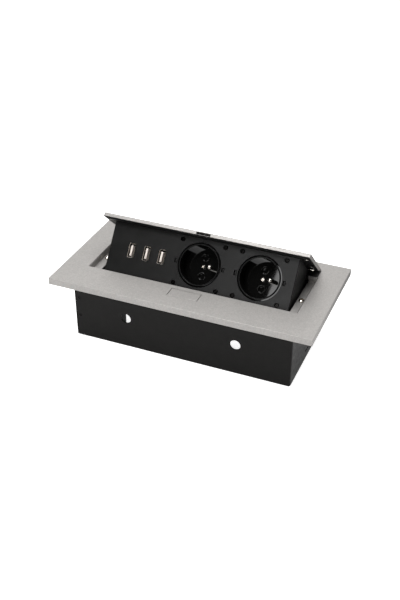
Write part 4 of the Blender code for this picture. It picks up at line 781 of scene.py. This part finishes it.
def camera():
    azimuth, roll = math.radians(CAMERA_AZIMUTH), math.radians(CAMERA_ROLL)
    back = toward(azimuth, math.radians(CAMERA_ELEVATION))
    level = Vector((math.cos(azimuth), math.sin(azimuth), 0))
    upright = back.cross(level)
    right = level * math.cos(roll) + upright * math.sin(roll)
    up = upright * math.cos(roll) - level * math.sin(roll)
    place = Matrix((right, up, back)).transposed().to_4x4()
    place.translation = CAMERA_TARGET + back * CAMERA_DISTANCE
    data = bpy.data.cameras.new("camera")
    data.lens = FOCAL_PIXELS / PHOTO_HEIGHT * SENSOR
    data.sensor_width = SENSOR
    data.clip_start = 0.01
    obj = bpy.data.objects.new("camera", data)
    scene.collection.objects.link(obj)
    obj.matrix_world = place
    scene.camera = obj


def softbox(name, azimuth, elevation, distance, width, height, radiance, lean):
    """A soft light, with its angles in degrees. It faces the part, or leans back by the angle in lean."""
    azimuth = math.radians(azimuth)
    way = toward(azimuth, math.radians(elevation))
    data = bpy.data.lights.new(name, "AREA")
    data.shape = "RECTANGLE"
    data.size = width
    data.size_y = height
    data.energy = radiance * math.pi * width * height
    obj = bpy.data.objects.new(name, data)
    scene.collection.objects.link(obj)
    obj.location = LAMP_TARGET + way * distance
    facing = way if lean is None else toward(azimuth, math.radians(lean))
    obj.rotation_euler = facing.to_track_quat("Z", "Y").to_euler()


def room():
    """A white sweep behind and a dark room in front, which the camera sees as white all round."""
    world = bpy.data.worlds.new("studio")
    scene.world = world
    world.use_nodes = True
    tree = world.node_tree
    tree.nodes.clear()
    out = tree.nodes.new("ShaderNodeOutputWorld")
    background = tree.nodes.new("ShaderNodeBackground")
    background.inputs["Color"].default_value = (1, 1, 1, 1)
    coords = tree.nodes.new("ShaderNodeTexCoord")
    parts = tree.nodes.new("ShaderNodeSeparateXYZ")
    tree.links.new(coords.outputs["Generated"], parts.inputs["Vector"])
    path = tree.nodes.new("ShaderNodeLightPath")
    behind = map_range(tree, mirrored(tree, path), ROOM_BACK, ROOM_MIRRORED)
    sweep = map_range(tree, parts.outputs["Y"], ROOM_FRONT, behind, *ROOM_SWEEP, smooth=True)
    tree.links.new(mix(tree, path.outputs["Is Camera Ray"], sweep, 1.0), background.inputs["Strength"])
    tree.links.new(background.outputs["Background"], out.inputs["Surface"])


def floor_material():
    """White for the camera; for other rays painted light, a glow near the part that darkens behind and to the
    right of it.
    """
    mat = bpy.data.materials.new("floor_white")
    mat.use_nodes = True
    tree = mat.node_tree
    shader = tree.nodes["Principled BSDF"]
    shader.inputs["Roughness"].default_value = 0.9
    shader.inputs["Specular IOR Level"].default_value = 0.0
    shader.inputs["Emission Color"].default_value = (1, 1, 1, 1)
    path = tree.nodes.new("ShaderNodeLightPath")
    geometry = tree.nodes.new("ShaderNodeNewGeometry")
    along = tree.nodes.new("ShaderNodeVectorMath")
    along.operation = "DOT_PRODUCT"
    along.inputs[1].default_value = FLOOR_SLOPE
    tree.links.new(geometry.outputs["Position"], along.inputs[0])
    away = map_range(tree, along.outputs["Value"], 0.0, 1.0, FLOOR_NEAR, FLOOR_FAR, smooth=True)
    share = tree.nodes.new("ShaderNodeMath")
    share.operation = "MULTIPLY_ADD"
    share.use_clamp = True
    share.inputs[1].default_value = FLOOR_MIRRORED
    tree.links.new(mirrored(tree, path), share.inputs[0])
    tree.links.new(path.outputs["Is Camera Ray"], share.inputs[2])
    # Painted light for other rays: brighter and glowing near the part, darker far from it
    for name, near, far, seen in FLOOR_LOOK:
        lit = map_range(tree, away, near, far)
        tree.links.new(mix(tree, share.outputs[0], lit, seen), shader.inputs[name])
    return mat


def studio():
    room()
    for lamp in LAMPS:
        softbox(*lamp)
    bm = bmesh.new()
    bmesh.ops.create_grid(bm, x_segments=2, y_segments=2, size=FLOOR_SIZE)
    floor = finish_mesh("studio_floor", bm, floor_material(), Matrix.Translation((0, 0, -FLOOR_DROP)))


camera()
studio()
dress_all()
dress_underside()
socket_details()
usb_ports()
face_screws()
ledge_screws()
lid_studs()
latch_springs()

scene.view_settings.view_transform = "Standard"
